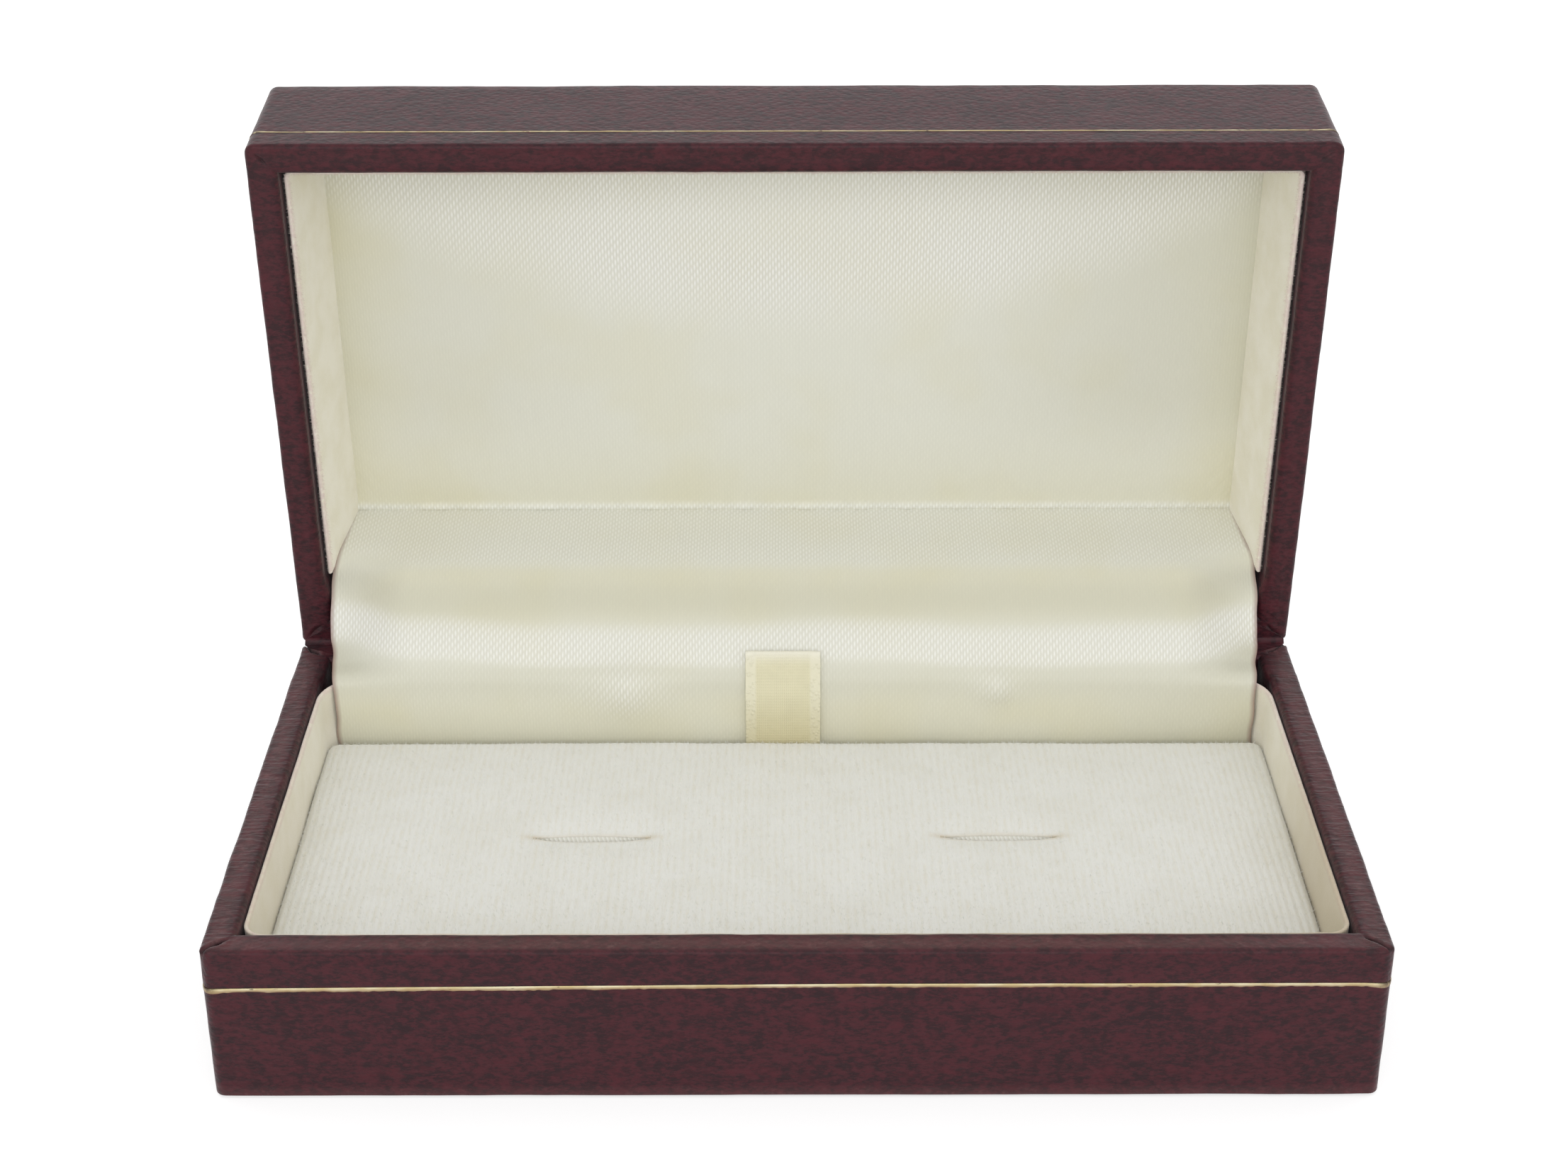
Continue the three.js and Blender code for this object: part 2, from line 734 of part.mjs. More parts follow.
// Satin from the crease of the ceiling to the lid's rim, over the hinges, and down behind the pad.
function makeFlap() {
  const fromBack = flapSetback - flapThickness / 2;
  const y = halfDepth - fromBack;
  const foot = liningTop + insertClearance;
  const line = smoothLine(
    [
      [y, foot, flapBaseHalfWidth],
      [y, (foot + baseHeight) / 2, flapBaseHalfWidth],
      [y, baseHeight - flapThickness, flapBaseHalfWidth],
      [y + flapThickness, baseHeight + 2 * flapThickness, flapHalfWidth],
      [...inOpenBox(fromBack, -flapThickness), flapHalfWidth],
      [...inOpenBox(fromBack, flapThickness), flapHalfWidth],
      [...inOpenBox(fromBack, padSatinZ / 2), flapHalfWidth],
      [...inOpenBox(fromBack, padSatinZ + padEdgeDrop + flapTuck), flapLidHalfWidth],
    ],
    flapStepsAlong,
  );
  const bumpZ = baseHeight - bowBulgeDrop;
  const bump = (x, atY, z) =>
    Object.values(hingeCentres).reduce((sum, centre) => {
      const across = (x - centre) / flapBumpWidth;
      const up = (z - bumpZ) / flapBumpHeight;
      return sum - flapBump * Math.exp(-across * across - up * up);
    }, 0);
  place(box, "satin_flap", sheet(line, flapThickness, 0, flapStepsAcross, bump), satin);
}

// The insert: stiff card, foam and velvet, with a tape in each slot and a ribbon to lift it by.
const insertPlan = {
  left: -halfWidth + insertInside,
  right: halfWidth - insertInside,
  front: -halfDepth + insertInside,
  back: insertBack,
  frontRadius: baseLinerFrontRadius - linerThickness - insertClearance,
  backRadius: insertBackRadius,
};
const slotY = insertBack - slotFromBack;

function slotCutter(x) {
  const r = slotWidth / 2;
  const straight = slotLength / 2 - r;
  const shape = new THREE.Shape();
  shape.absarc(straight, 0, r, -Math.PI / 2, Math.PI / 2, false);
  shape.absarc(-straight, 0, r, Math.PI / 2, (3 * Math.PI) / 2, false);
  const cutter = new THREE.ExtrudeGeometry(shape, {
    depth: slotDepth + 2 * velvetThickness + cutOverrun,
    bevelEnabled: false,
    curveSegments: slotSides,
  });
  return cutter.translate(x, slotY, foamTop - slotDepth);
}

function makeInsert() {
  const inner = velvetThickness + glueGap;
  const slots = [-slotOffset, slotOffset].map(slotCutter);
  const card = trayOf(insertPlan, [
    [inner, insertBottom],
    [inner, insertBottom + insertCardThickness],
  ]);
  place(box, "insert_card", card, board);
  const foamBlock = trayOf(insertPlan, [
    [inner, foamBottom],
    [inner, foamTop],
  ]);
  place(box, "insert_foam", cut(foamBlock, ...slots), foam);

  const r = velvetEdgeRadius;
  const crown = Array.from({ length: crownSteps + 1 }, (_, step) => {
    const share = 1 - step / crownSteps;
    const inset = r + (insertCrownReach - r) * share * share;
    return [inset, velvetTop + insertCrown * Math.sin((share * Math.PI) / 2)];
  });
  const cover = trayOf(insertPlan, [
    ...crown,
    ...quarterRound(r, velvetTop - r, r, 90, 180).slice(1),
    [0, insertBottom],
    [velvetThickness, insertBottom],
    [velvetThickness, velvetTop - velvetThickness],
    [insertCrownReach, velvetTop - velvetThickness + insertCrown],
  ]);
  place(box, "insert_velvet", cut(cover, ...slots), velvet);
  slotTape("left", -slotOffset);
  slotTape("right", slotOffset);
  makePullTab();
}

// A tape folded into its slot, open at the top.
function slotTape(side, x) {
  const fold = slotWidth / 2 - glueGap - tapeThickness / 2;
  const top = velvetTop - tapeDrop;
  const foldZ = foamTop - slotDepth + glueGap + tapeThickness / 2 + fold;
  const reach = slotLength / 2 - tapeEndGap;
  const round = Array.from({ length: foldSteps + 1 }, (_, step) => {
    const angle = Math.PI + (Math.PI * step) / foldSteps;
    return [slotY + fold * Math.cos(angle), foldZ + fold * Math.sin(angle), reach];
  });
  const line = [[slotY - fold, top, reach], ...round, [slotY + fold, top, reach]];
  place(box, "slot_tape_" + side, sheet(line, tapeThickness, x, 1), ribbon);
}

// A ribbon doubled over at its top. It stands up behind the pad and leans back to the satin.
function makePullTab() {
  const reach = tabWidth / 2;
  const y = insertBack + insertBackGap / 2;
  const top = velvetTop + tabRise;
  const middle = smoothLine(
    [
      [y, insertBottom + insertClearance, reach],
      [y, velvetTop, reach],
      [y, velvetTop + tabBend, reach],
      [y + tabLean, top, reach],
    ],
    tabSteps,
  );
  const sideOf = (i, side) => {
    const before = middle[Math.max(i - 1, 0)];
    const after = middle[Math.min(i + 1, middle.length - 1)];
    const along = new THREE.Vector2(after[0] - before[0], after[1] - before[1]).normalize();
    const out = side * tabFoldRadius;
    return [middle[i][0] + along.y * out, middle[i][1] - along.x * out, reach];
  };
  const last = middle.length - 1;
  const end = middle[last];
  const start = sideOf(last, -1);
  const from = Math.atan2(start[1] - end[1], start[0] - end[0]);
  const fold = Array.from({ length: foldSteps - 1 }, (_, step) => {
    const angle = from - (Math.PI * (step + 1)) / foldSteps;
    return [
      end[0] + tabFoldRadius * Math.cos(angle),
      end[1] + tabFoldRadius * Math.sin(angle),
      reach,
    ];
  });
  const line = [
    ...middle.map((_, i) => sideOf(i, -1)),
    ...fold,
    ...middle.map((_, i) => sideOf(last - i, 1)),
  ];
  place(box, "pull_tab", sheet(line, tabThickness, tabOffset, 1), ribbon);
}

makeBase();
makeLid();
makeCeiling();
for (const side of ["left", "right"]) {
  hingeLeaf(box, "lower", side, baseHeight, floorTop, 1);
  hingeLeaf(lid, "upper", side, 0, lidBoardZ, -1);
  springBow(side);
}
makeHingeLeather();
makeFlap();
makeInsert();

export default box;
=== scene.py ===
"""A hinged cufflink display box, open: burgundy leatherette outside, cream velour, satin and velvet inside.

Lengths are in millimetres and mesh code works in them. Meshes are stored in metres, in the box's own frame:
X to the right, Y to the back, Z up, with the origin under the middle of the box. The lid's pieces are made as
if shut, with the rim plane at nought, and then moved to where the lid stands open.
"""

import itertools
import math
from types import SimpleNamespace

import bpy
import numpy as np
from mathutils import Matrix, Vector


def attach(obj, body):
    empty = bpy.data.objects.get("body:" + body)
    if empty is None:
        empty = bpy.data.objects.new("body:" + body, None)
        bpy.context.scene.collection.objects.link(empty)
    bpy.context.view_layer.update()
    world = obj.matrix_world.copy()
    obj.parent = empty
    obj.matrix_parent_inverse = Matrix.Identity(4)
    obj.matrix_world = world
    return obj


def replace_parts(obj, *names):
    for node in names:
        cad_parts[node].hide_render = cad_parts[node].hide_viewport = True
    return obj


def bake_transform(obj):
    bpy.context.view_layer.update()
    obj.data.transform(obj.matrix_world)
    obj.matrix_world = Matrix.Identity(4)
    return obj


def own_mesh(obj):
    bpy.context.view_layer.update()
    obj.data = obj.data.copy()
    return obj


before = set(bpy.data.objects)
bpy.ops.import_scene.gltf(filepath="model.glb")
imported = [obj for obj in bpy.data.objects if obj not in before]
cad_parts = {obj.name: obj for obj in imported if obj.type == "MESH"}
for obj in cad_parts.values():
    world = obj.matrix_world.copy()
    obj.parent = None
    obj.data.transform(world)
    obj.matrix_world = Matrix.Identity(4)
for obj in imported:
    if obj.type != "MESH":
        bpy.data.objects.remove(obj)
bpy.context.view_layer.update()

# The box

HALF_WIDTH = 47.5
HALF_DEPTH = 25.7
BASE_HEIGHT = 14.2
LID_HEIGHT = 13.75
OPEN_ANGLE = 84.5  # degrees between the two rims as the box stands
CLOSED_GAP = 0.3  # between the two rims when shut
RIM_WIDTH = 2.6
CORNER_RADIUS = 0.9  # upright corners in front
BACK_CORNER_RADIUS = 0.45
HINGE = np.array([0, HALF_DEPTH, BASE_HEIGHT + CLOSED_GAP / 2])

# Leather coverings

LEATHER = 0.4
EDGE_RADIUS = 0.4  # outer edge of the rims and of the lid's top
INNER_EDGE_RADIUS = 0.5  # where the rim's leather turns down inside
LEAST_RADIUS = 0.12  # the sharpest upright corner that leather makes
RIM_INSIDE = 2.72  # outer face of the box to the leather inside the rim
INSIDE_TURN = 5.5  # how far that leather runs down
WRAP_BOTTOM = 0.02
BOTTOM_RADIUS = 0.13
TURN_IN = 6  # how far the leather runs in under the floor
FLAT_INSET = 7.0  # where the lid's top is quite flat
EDGE_WEAR = 0.35  # how far wear reaches from an edge

# The two halves: which way a rim faces, its plane, the leather above the gold line, the line's height, and
# for the rim's folded corners the share of its width that their seams cross, their depths and how dark their
# seams are, and how far the rim's top is lightened, partly wear and partly painted highlight

BASE = SimpleNamespace(
    name="base", up=1, rim=BASE_HEIGHT, band=3.1, gold=0.34,
    mitre=(0.02, 0.72), groove=0.2, pit=0.34, top_wear_and_highlight=1.0, seam=1.0,
)
LID = SimpleNamespace(
    name="lid", up=-1, rim=0, band=2.85, gold=0.17,
    mitre=(0.3, 0.66), groove=0.07, pit=0.12, top_wear_and_highlight=0.15, seam=0.35,
)

# Linings

LINER_INSET = 2.84
LID_LINER_INSET = 2.95
LINER_THICKNESS = 0.35
LINING_TOP = 2.7
FLAP_SETBACK = 7.95  # outer back face to the satin behind the pad
FLAP_THICKNESS = 0.16

# Insert

INSERT_BOTTOM = 2.95
INSERT_INSET = 3.38
VELVET_TOP = 8.55
PAD_BOX = (INSERT_INSET - HALF_WIDTH, HALF_WIDTH - INSERT_INSET, INSERT_INSET - HALF_DEPTH, 16.9)
PAD_EDGE_RADIUS = 0.85
SLOTS = {"left": -18.1, "right": 18.1}
SLOT_Y = -0.05
SLOT_LENGTH = 10.6
SLOT_DEPTH = 3.2
TAB_X = -1.1
TAB_WIDTH = 7.0
TAB_RISE = 8.5
TAB_Y = PAD_BOX[3] + 0.4

# Spring hinges

HINGES = {"left": -15.8, "right": 19.0}
PIN_SETBACK = 5.4  # outer back face to the pins
PIN_DEPTH = 7  # rim plane to the pins
BOW_CURL = 0.82  # pin to the middle of the steel curled round it
BOW_REACH = 2.8  # half of a bow's width

# Light

HORIZON_LIGHT = 1.05
ZENITH_LIGHT = 0.85
FLOOR_SHADE = 0.55
FLOOR_LIFT = 0.62
FLOOR_REACH = 3
FLOOR_DROP = 0.0002

# Camera, in metres and radians

CAMERA_LENS = 60.216
CAMERA_PLACE = (-0.0008083, -0.1973726, 0.1342607)
CAMERA_YAW = 0.0008
CAMERA_PITCH = -0.47255
CAMERA_ROLL = 0.0023


def link(thing):
    """Puts an object in the scene."""
    bpy.context.scene.collection.objects.link(thing)
    return thing


camera = link(bpy.data.objects.new("camera", bpy.data.cameras.new("camera")))
camera.data.sensor_width = 36
camera.data.lens = CAMERA_LENS
camera.data.clip_start = 0.01
camera.data.clip_end = 10
camera.matrix_world = (
    Matrix.Translation(CAMERA_PLACE)
    @ Matrix.Rotation(CAMERA_YAW, 4, "Z")
    @ Matrix.Rotation(CAMERA_PITCH, 4, "X")
    @ Matrix.Rotation(CAMERA_ROLL, 4, "Y")
    @ Matrix.Rotation(math.pi / 2, 4, "X")
)
bpy.context.scene.camera = camera


# Node graphs

class Value:
    """A number that a node gives. Arithmetic on it adds Math nodes."""

    def __init__(self, graph, socket):
        self.graph, self.socket = graph, socket

    def math(self, operation, *others):
        return self.graph.node("ShaderNodeMath", {"operation": operation}, dict(enumerate((self, *others))))

    def under(self, operation, first):
        """The same sum with this value second, as in 1 - value."""
        return self.graph.node("ShaderNodeMath", {"operation": operation}, {0: first, 1: self})

    def __add__(self, other):
        return self.math("ADD", other)

    def __sub__(self, other):
        return self.math("SUBTRACT", other)

    def __mul__(self, other):
        return self.math("MULTIPLY", other)

    def __truediv__(self, other):
        return self.math("DIVIDE", other)

    def __pow__(self, other):
        return self.math("POWER", other)

    def __rsub__(self, other):
        return self.under("SUBTRACT", other)

    def __rtruediv__(self, other):
        return self.under("DIVIDE", other)

    __radd__ = __add__
    __rmul__ = __mul__

    def wave(self):
        """A cosine of this many turns, from -1 to 1."""
        return (self * (2 * math.pi)).math("COSINE")

    def ramp(self, low, high):
        """Nought below low, one above high, smooth between them."""
        settings = {"interpolation_type": "SMOOTHSTEP"}
        return self.graph.node("ShaderNodeMapRange", settings, {0: self, 1: low, 2: high})


class Graph:
    """A node tree and the one way of adding to it."""

    def __init__(self, tree):
        self.tree = tree

    def node(self, kind, settings=None, sockets=None, out=0):
        """Adds a node, sets its settings, then gives its sockets values or links. Returns one output."""
        made = self.tree.nodes.new(kind)
        for name, value in (settings or {}).items():
            setattr(made, name, value)
        for name, value in (sockets or {}).items():
            if isinstance(value, Value):
                self.tree.links.new(value.socket, made.inputs[name])
            else:
                made.inputs[name].default_value = value
        return Value(self, made.outputs[out])


class Finish(Graph):
    """A material. Constants go on the shader's own sockets, and what varies is linked afterwards."""

    def __init__(self, name, base, roughness, **constants):
        self.material = bpy.data.materials.new(name)
        self.material.use_nodes = True
        self.material.diffuse_color = base
        super().__init__(self.material.node_tree)
        self.shader = self.tree.nodes["Principled BSDF"]
        self.shader.inputs["Base Color"].default_value = base
        self.shader.inputs["Roughness"].default_value = roughness
        for socket, value in constants.items():
            self.shader.inputs[socket.replace("_", " ").title().replace("Ior", "IOR")].default_value = value

    def vary(self, **links):
        for socket, value in links.items():
            self.tree.links.new(value.socket, self.shader.inputs[socket.replace("_", " ").title()])

    def place(self):
        """The point on the piece, in millimetres."""
        point = self.node("ShaderNodeTexCoord", out="Object")
        return self.node("ShaderNodeVectorMath", {"operation": "SCALE"}, {0: point, "Scale": 1000})

    def stretched(self, place, x, y, z):
        return self.node("ShaderNodeVectorMath", {"operation": "MULTIPLY"}, {0: place, 1: (x, y, z)})

    def along(self, place, axis):
        return self.node("ShaderNodeSeparateXYZ", sockets={0: place}, out=axis)

    def cloth(self):
        """Across and along the cloth, in millimetres, from the piece's own UV map."""
        flat = self.node("ShaderNodeUVMap", {"uv_map": "cloth"})
        flat = self.node("ShaderNodeVectorMath", {"operation": "SCALE"}, {0: flat, "Scale": 100})
        return flat, self.along(flat, 0), self.along(flat, 1)

    def mark(self, name):
        """A number kept on the mesh's points."""
        return self.node("ShaderNodeAttribute", {"attribute_name": name}, out="Fac")

    def noise(self, place, size, detail=2, rough=0.5, twist=0.0):
        lumps = {"Vector": place, "Scale": 1 / size, "Detail": detail}
        return self.node("ShaderNodeTexNoise", None, {**lumps, "Roughness": rough, "Distortion": twist})

    def cells(self, place, size):
        return self.node("ShaderNodeTexVoronoi", None, {"Vector": place, "Scale": 1 / size}, "Distance")

    def mix(self, share, first, second):
        settings = {"data_type": "RGBA", "clamp_factor": True}
        return self.node("ShaderNodeMix", settings, {0: share, 6: first, 7: second}, out=2)

    def bump(self, height, depth, strength, over=None):
        """Relief from a height between 0 and 1, its depth in millimetres."""
        sockets = {"Height": height, "Distance": depth / 1000, "Strength": strength}
        if over is not None:
            sockets["Normal"] = over
        return self.node("ShaderNodeBump", None, sockets)


class Grower(Graph):
    """A Geometry Nodes tree with named inputs, put on a piece and then turned into plain mesh."""

    def __init__(self, name, **inputs):
        super().__init__(bpy.data.node_groups.new(name, "GeometryNodeTree"))
        self.tree.interface.new_socket("Geometry", in_out="INPUT", socket_type="NodeSocketGeometry")
        self.tree.interface.new_socket("Geometry", in_out="OUTPUT", socket_type="NodeSocketGeometry")
        self.sockets = {}
        for key, value in inputs.items():
            kind = "NodeSocketInt" if isinstance(value, int) else "NodeSocketFloat"
            title = key.replace("_", " ").capitalize()
            socket = self.tree.interface.new_socket(title, in_out="INPUT", socket_type=kind)
            socket.default_value = value
            self.sockets[key] = socket.identifier
        entry = self.tree.nodes.new("NodeGroupInput")
        self.exit = self.tree.nodes.new("NodeGroupOutput")
        self.given = [Value(self, entry.outputs[place]) for place in range(len(inputs) + 1)]

    def finish(self, geometry, material):
        """Ends the tree: real mesh in place of instances, and its material."""
        real = self.node("GeometryNodeRealizeInstances", None, {0: geometry})
        done = self.node("GeometryNodeSetMaterial", None, {"Geometry": real, "Material": material})
        self.tree.links.new(done.socket, self.exit.inputs[0])

    def grow(self, piece, **inputs):
        """Runs the tree on a piece and keeps the result as its mesh."""
        modifier = piece.modifiers.new(self.tree.name, "NODES")
        modifier.node_group = self.tree
        for key, value in inputs.items():
            modifier[self.sockets[key]] = value
        bpy.context.view_layer.update()
        grown = piece.evaluated_get(bpy.context.evaluated_depsgraph_get())
        mesh = bpy.data.meshes.new_from_object(grown)
        piece.modifiers.clear()
        piece.data = mesh
        mesh.name = piece.name


# Finishes

def colour(red, green, blue):
    """A colour as it looks on screen, 0 to 255, in the numbers that a shader takes."""
    shares = (c / 255 for c in (red, green, blue))
    return tuple(s / 12.92 if s <= 0.04045 else ((s + 0.055) / 1.055) ** 2.4 for s in shares) + (1,)


def darker(tint, share):
    return tuple(c * share for c in tint[:3]) + (1,)


def leatherette(name, wrinkled=0.0):
    """Burgundy covering with a darker cloud printed in it and a fine pressed grain."""
    red = colour(73, 31, 38)
    finish = Finish(name, red, 0.46, specular_ior_level=0.22, sheen_weight=0.17, sheen_roughness=0.35)
    place = finish.place()
    drawn = finish.stretched(place, 0.62, 0.75, 1.0)
    clusters = finish.noise(drawn, 0.54, detail=5, rough=0.64, twist=0.3)
    fine = finish.noise(finish.stretched(place, 0.4, 0.6, 1.0), 0.2, detail=3, rough=0.6)
    broad = finish.noise(drawn, 2.6)
    dark = (clusters * 0.56 + fine * 0.3 + broad * 0.14).ramp(0.59, 0.41)
    redder = finish.noise(drawn, 1.6).ramp(0.5, 0.75) * 0.4
    tint = finish.mix(dark, red, colour(44, 22, 27))
    tint = finish.mix(redder, tint, colour(84, 30, 39))
    # The edge mark lightens worn edges with scuffs. On the rims' top faces it is partly wear and partly
    # painted highlight: the even lift makes the top lighter than the front band.
    scuffs = finish.noise(place, 0.9, detail=3, rough=0.7).ramp(0.52, 0.72)
    tint = finish.mix(finish.mark("edge") * (scuffs * 0.24 + 0.2), tint, colour(128, 90, 89))
    tint = finish.mix(finish.mark("seam") * 0.85, tint, colour(34, 22, 24))
    pressed = finish.stretched(place, 0.62, 0.8, 1.0)
    grain = finish.noise(pressed, 0.26, detail=3, rough=0.65)
    pits = finish.cells(pressed, 0.42).ramp(0.1, 0.75)
    normal = finish.bump(grain * 0.6 + pits * 0.4, 0.055, 0.85)
    if wrinkled:
        across = finish.stretched(place, 0.22, 1.0, 0.3)
        folds = finish.noise(across, 0.62, detail=3, rough=0.55, twist=0.35).ramp(0.34, 0.7)
        sides = finish.along(place, 0).math("ABSOLUTE").ramp(44.9, 45.4)
        normal = finish.bump(folds * sides, 0.06 * wrinkled, 0.85, over=normal)
    finish.vary(base_color=tint, roughness=0.36 + grain * 0.16, normal=normal)
    return finish.material


def gold_foil(name):
    """Pale foil, patchy, browner along its lower edge and lost in specks and at the corners."""
    gold = colour(205, 186, 136)
    finish = Finish(name, gold, 0.42, metallic=0.55)
    place = finish.place()
    patchy = finish.noise(finish.stretched(place, 0.3, 0.5, 1), 0.8, detail=3, rough=0.6)
    tint = finish.mix(patchy.ramp(0.35, 0.7), gold, colour(230, 221, 186))
    tint = finish.mix(finish.mark("low") * 0.75, tint, colour(134, 96, 70))
    chips = finish.mark("chip") * finish.noise(place, 0.5, rough=0.7).ramp(0.3, 0.5)
    specks = finish.noise(finish.stretched(place, 0.4, 0.4, 1), 0.3).ramp(0.66, 0.76) * 0.7
    lost = chips.math("MAXIMUM", specks)
    tint = finish.mix(lost, tint, colour(74, 52, 42))
    normal = finish.bump(patchy, 0.02, 0.5)
    finish.vary(base_color=tint, metallic=(1 - lost) * 0.55, roughness=0.36 + patchy * 0.14, normal=normal)
    return finish.material


def velour(name):
    """Short even pile on card. Along the shown edge the pile is thin and the pinkish backing shows."""
    light = colour(246, 242, 228)
    finish = Finish(name, light, 0.92, sheen_weight=0.35, sheen_roughness=0.5, specular_ior_level=0.15)
    place = finish.place()
    soft = finish.noise(place, 3.2, detail=3, rough=0.55)
    nap = finish.noise(place, 0.16, rough=0.7)
    tint = finish.mix((soft * 0.7 + nap * 0.3).ramp(0.35, 0.68), light, colour(238, 233, 213))
    worn = finish.mark("edge") * finish.noise(place, 0.5, detail=3, rough=0.7).ramp(0.25, 0.6)
    tint = finish.mix(worn * 0.75, tint, colour(226, 206, 200))
    tint = finish.mix(finish.mark("backing"), tint, colour(92, 66, 62))
    # Painted shade on the liners, darker and yellower where they lie in shade.
    tint = finish.mix(finish.mark("painted_shade"), tint, colour(176, 158, 122))
    finish.vary(base_color=tint, normal=finish.bump(nap * 0.8 + soft * 0.2, 0.05, 0.6))
    return finish.material


def satin(name):
    """Five-end satin: long floats up the cloth, bound down at points that step across it."""
    base = colour(229, 229, 217)
    finish = Finish(name, base, 0.36, specular_ior_level=0.55, sheen_weight=0.12, sheen_roughness=0.4)
    pitch, float_length, step_share = 0.28, 0.8, 0.4
    flat, across, along = finish.cloth()
    thread = (across + finish.noise(flat, 5.0) * 0.16) / pitch
    bound = (along / float_length - thread.math("ROUND") * step_share).wave() * 0.42 + 0.58
    floats = (thread.wave() * 0.5 + 0.5) * bound
    slubs = finish.noise(finish.stretched(flat, 2.6, 0.35, 1), 0.8, rough=0.6)
    broad = finish.noise(flat, 11)
    sheen = finish.mark("sheen")
    # The mark mixed in here beside the broad noise is painted shade, darker and yellower where the satin lies
    # in shade; the noise is the cloth's own uneven tone. The shade and sheen marks below are painted shade
    # and painted highlight, with glints on the floats.
    tint = finish.mix(broad.ramp(0.42, 0.7) * 0.35 + finish.mark("painted_warm_shade"), base, colour(224, 220, 193))
    tint = finish.mix(finish.mark("shade"), tint, colour(196, 194, 172))
    tint = finish.mix(sheen * 0.34, tint, colour(250, 250, 247))
    tint = finish.mix((1 - floats) * (sheen * 0.28 + 0.1), tint, colour(188, 185, 170))
    tint = finish.mix(floats * sheen, tint, colour(254, 254, 251))
    tint = finish.mix(finish.mark("rim"), tint, colour(120, 60, 58))
    height = floats * (sheen * 0.7 + 0.3) + slubs * 0.15
    finish.vary(base_color=tint, roughness=0.44 - floats * 0.14, normal=finish.bump(height, 0.05, 0.8))
    return finish.material


def needlecord(name):
    """Off-white velvet pile with beige showing down in the furrows."""
    light = colour(233, 233, 228)
    finish = Finish(name, light, 0.95, sheen_weight=0.5, sheen_roughness=0.45, specular_ior_level=0.1)
    place = finish.place()
    nap = finish.noise(place, 0.12, rough=0.75)
    tufts = finish.noise(finish.stretched(place, 2.2, 0.5, 1), 0.7, detail=3, rough=0.65)
    soft = finish.noise(place, 5)
    tint = finish.mix(soft.ramp(0.4, 0.7) * 0.5, light, colour(227, 226, 218))
    tint = finish.mix(finish.mark("furrow") * tufts.ramp(0.38, 0.66) * 0.4, tint, colour(221, 215, 195))
    # Painted shade: darker and browner along the slots' lips and at their ends.
    tint = finish.mix(finish.mark("slot"), tint, colour(196, 176, 134))
    finish.vary(base_color=tint, normal=finish.bump(nap * 0.6 + tufts * 0.4, 0.06, 0.6))
    return finish.material


def pile(name, tip):
    """Single fibres, some a little darker."""
    finish = Finish(name, tip, 0.9, sheen_weight=0.4, specular_ior_level=0.1)
    tone = finish.noise(finish.place(), 1.3)
    finish.vary(base_color=finish.mix(tone.ramp(0.35, 0.7) * 0.5, tip, darker(tip, 0.86)))
    return finish.material


def woven_ribbon(name):
    """Plain fine ribbing across, with a looped edge down each side."""
    base = colour(224, 219, 188)
    finish = Finish(name, base, 0.5, specular_ior_level=0.4, sheen_weight=0.2)
    flat, across, along = finish.cloth()
    ribs = (along * 3.6).wave() * 0.5 + 0.5
    threads = (across * 5.5).wave() * 0.5 + 0.5
    edge = finish.mark("edge")
    loops = finish.cells(flat, 0.34).ramp(0.1, 0.6)
    height = ribs * threads * (1 - edge) * 0.5 + (1 - loops) * edge
    mottle = finish.noise(flat, 1.4)
    tint = finish.mix(mottle.ramp(0.35, 0.7) * 0.5, base, darker(base, 0.93))
    tint = finish.mix(edge * 0.8, tint, colour(231, 228, 206))
    # Painted highlight: paler along the fold at the top.
    tint = finish.mix(finish.mark("fold"), tint, colour(240, 238, 224))
    # Painted shade: darker and yellower towards the foot, over a slight even tint.
    tint = finish.mix(finish.mark("low"), tint, colour(196, 184, 138))
    finish.vary(base_color=tint, normal=finish.bump(height, 0.06, 0.8))
    return finish.material


def slot_tape_weave(name):
    """White tape with shiny slanting ribs."""
    finish = Finish(name, colour(236, 235, 226), 0.34, specular_ior_level=0.55)
    _, across, along = finish.cloth()
    ribs = (across * 2.6 + along * 1.1).wave() * 0.5 + 0.5
    tint = finish.mix((1 - ribs) * 0.4, colour(238, 237, 229), colour(196, 192, 172))
    finish.vary(base_color=tint, normal=finish.bump(ribs, 0.08, 0.9))
    return finish.material


def grey_board(name):
    """Pulp board with drawn-out fibres and dark flecks."""
    finish = Finish(name, colour(154, 143, 122), 0.9)
    place = finish.place()
    fibres = finish.noise(finish.stretched(place, 1, 0.3, 1), 0.6, detail=4, rough=0.65)
    flecks = finish.cells(place, 1.6).ramp(0.16, 0.05)
    tint = finish.mix(fibres.ramp(0.3, 0.7), colour(166, 155, 134), colour(140, 129, 108))
    tint = finish.mix(flecks * 0.5, tint, colour(92, 84, 74))
    finish.vary(base_color=tint, normal=finish.bump(fibres, 0.05, 0.5))
    return finish.material


def spring_steel(name):
    """Bright drawn steel with some tarnish."""
    finish = Finish(name, colour(176, 176, 178), 0.32, metallic=1.0)
    place = finish.place()
    drawn = finish.noise(finish.stretched(place, 0.15, 4, 4), 0.5, detail=3, rough=0.6)
    tarnish = finish.noise(place, 2.2, detail=3).ramp(0.52, 0.75)
    tint = finish.mix(tarnish * 0.6, colour(182, 182, 184), colour(128, 122, 112))
    roughness = 0.24 + drawn * 0.2 + tarnish * 0.15
    finish.vary(base_color=tint, roughness=roughness, normal=finish.bump(drawn, 0.01, 0.4))
    return finish.material


def covering_sheet(name):
    """Matt dark paper on the underside."""
    finish = Finish(name, colour(61, 42, 46), 0.88)
    place = finish.place()
    fibres = finish.noise(place, 0.5, detail=4, rough=0.7)
    flecks = finish.cells(place, 0.9).ramp(0.2, 0.05)
    tint = finish.mix(fibres.ramp(0.35, 0.65), colour(66, 45, 49), colour(50, 34, 38))
    tint = finish.mix(flecks * 0.35, tint, colour(96, 76, 78))
    finish.vary(base_color=tint, normal=finish.bump(fibres, 0.05, 0.6))
    return finish.material


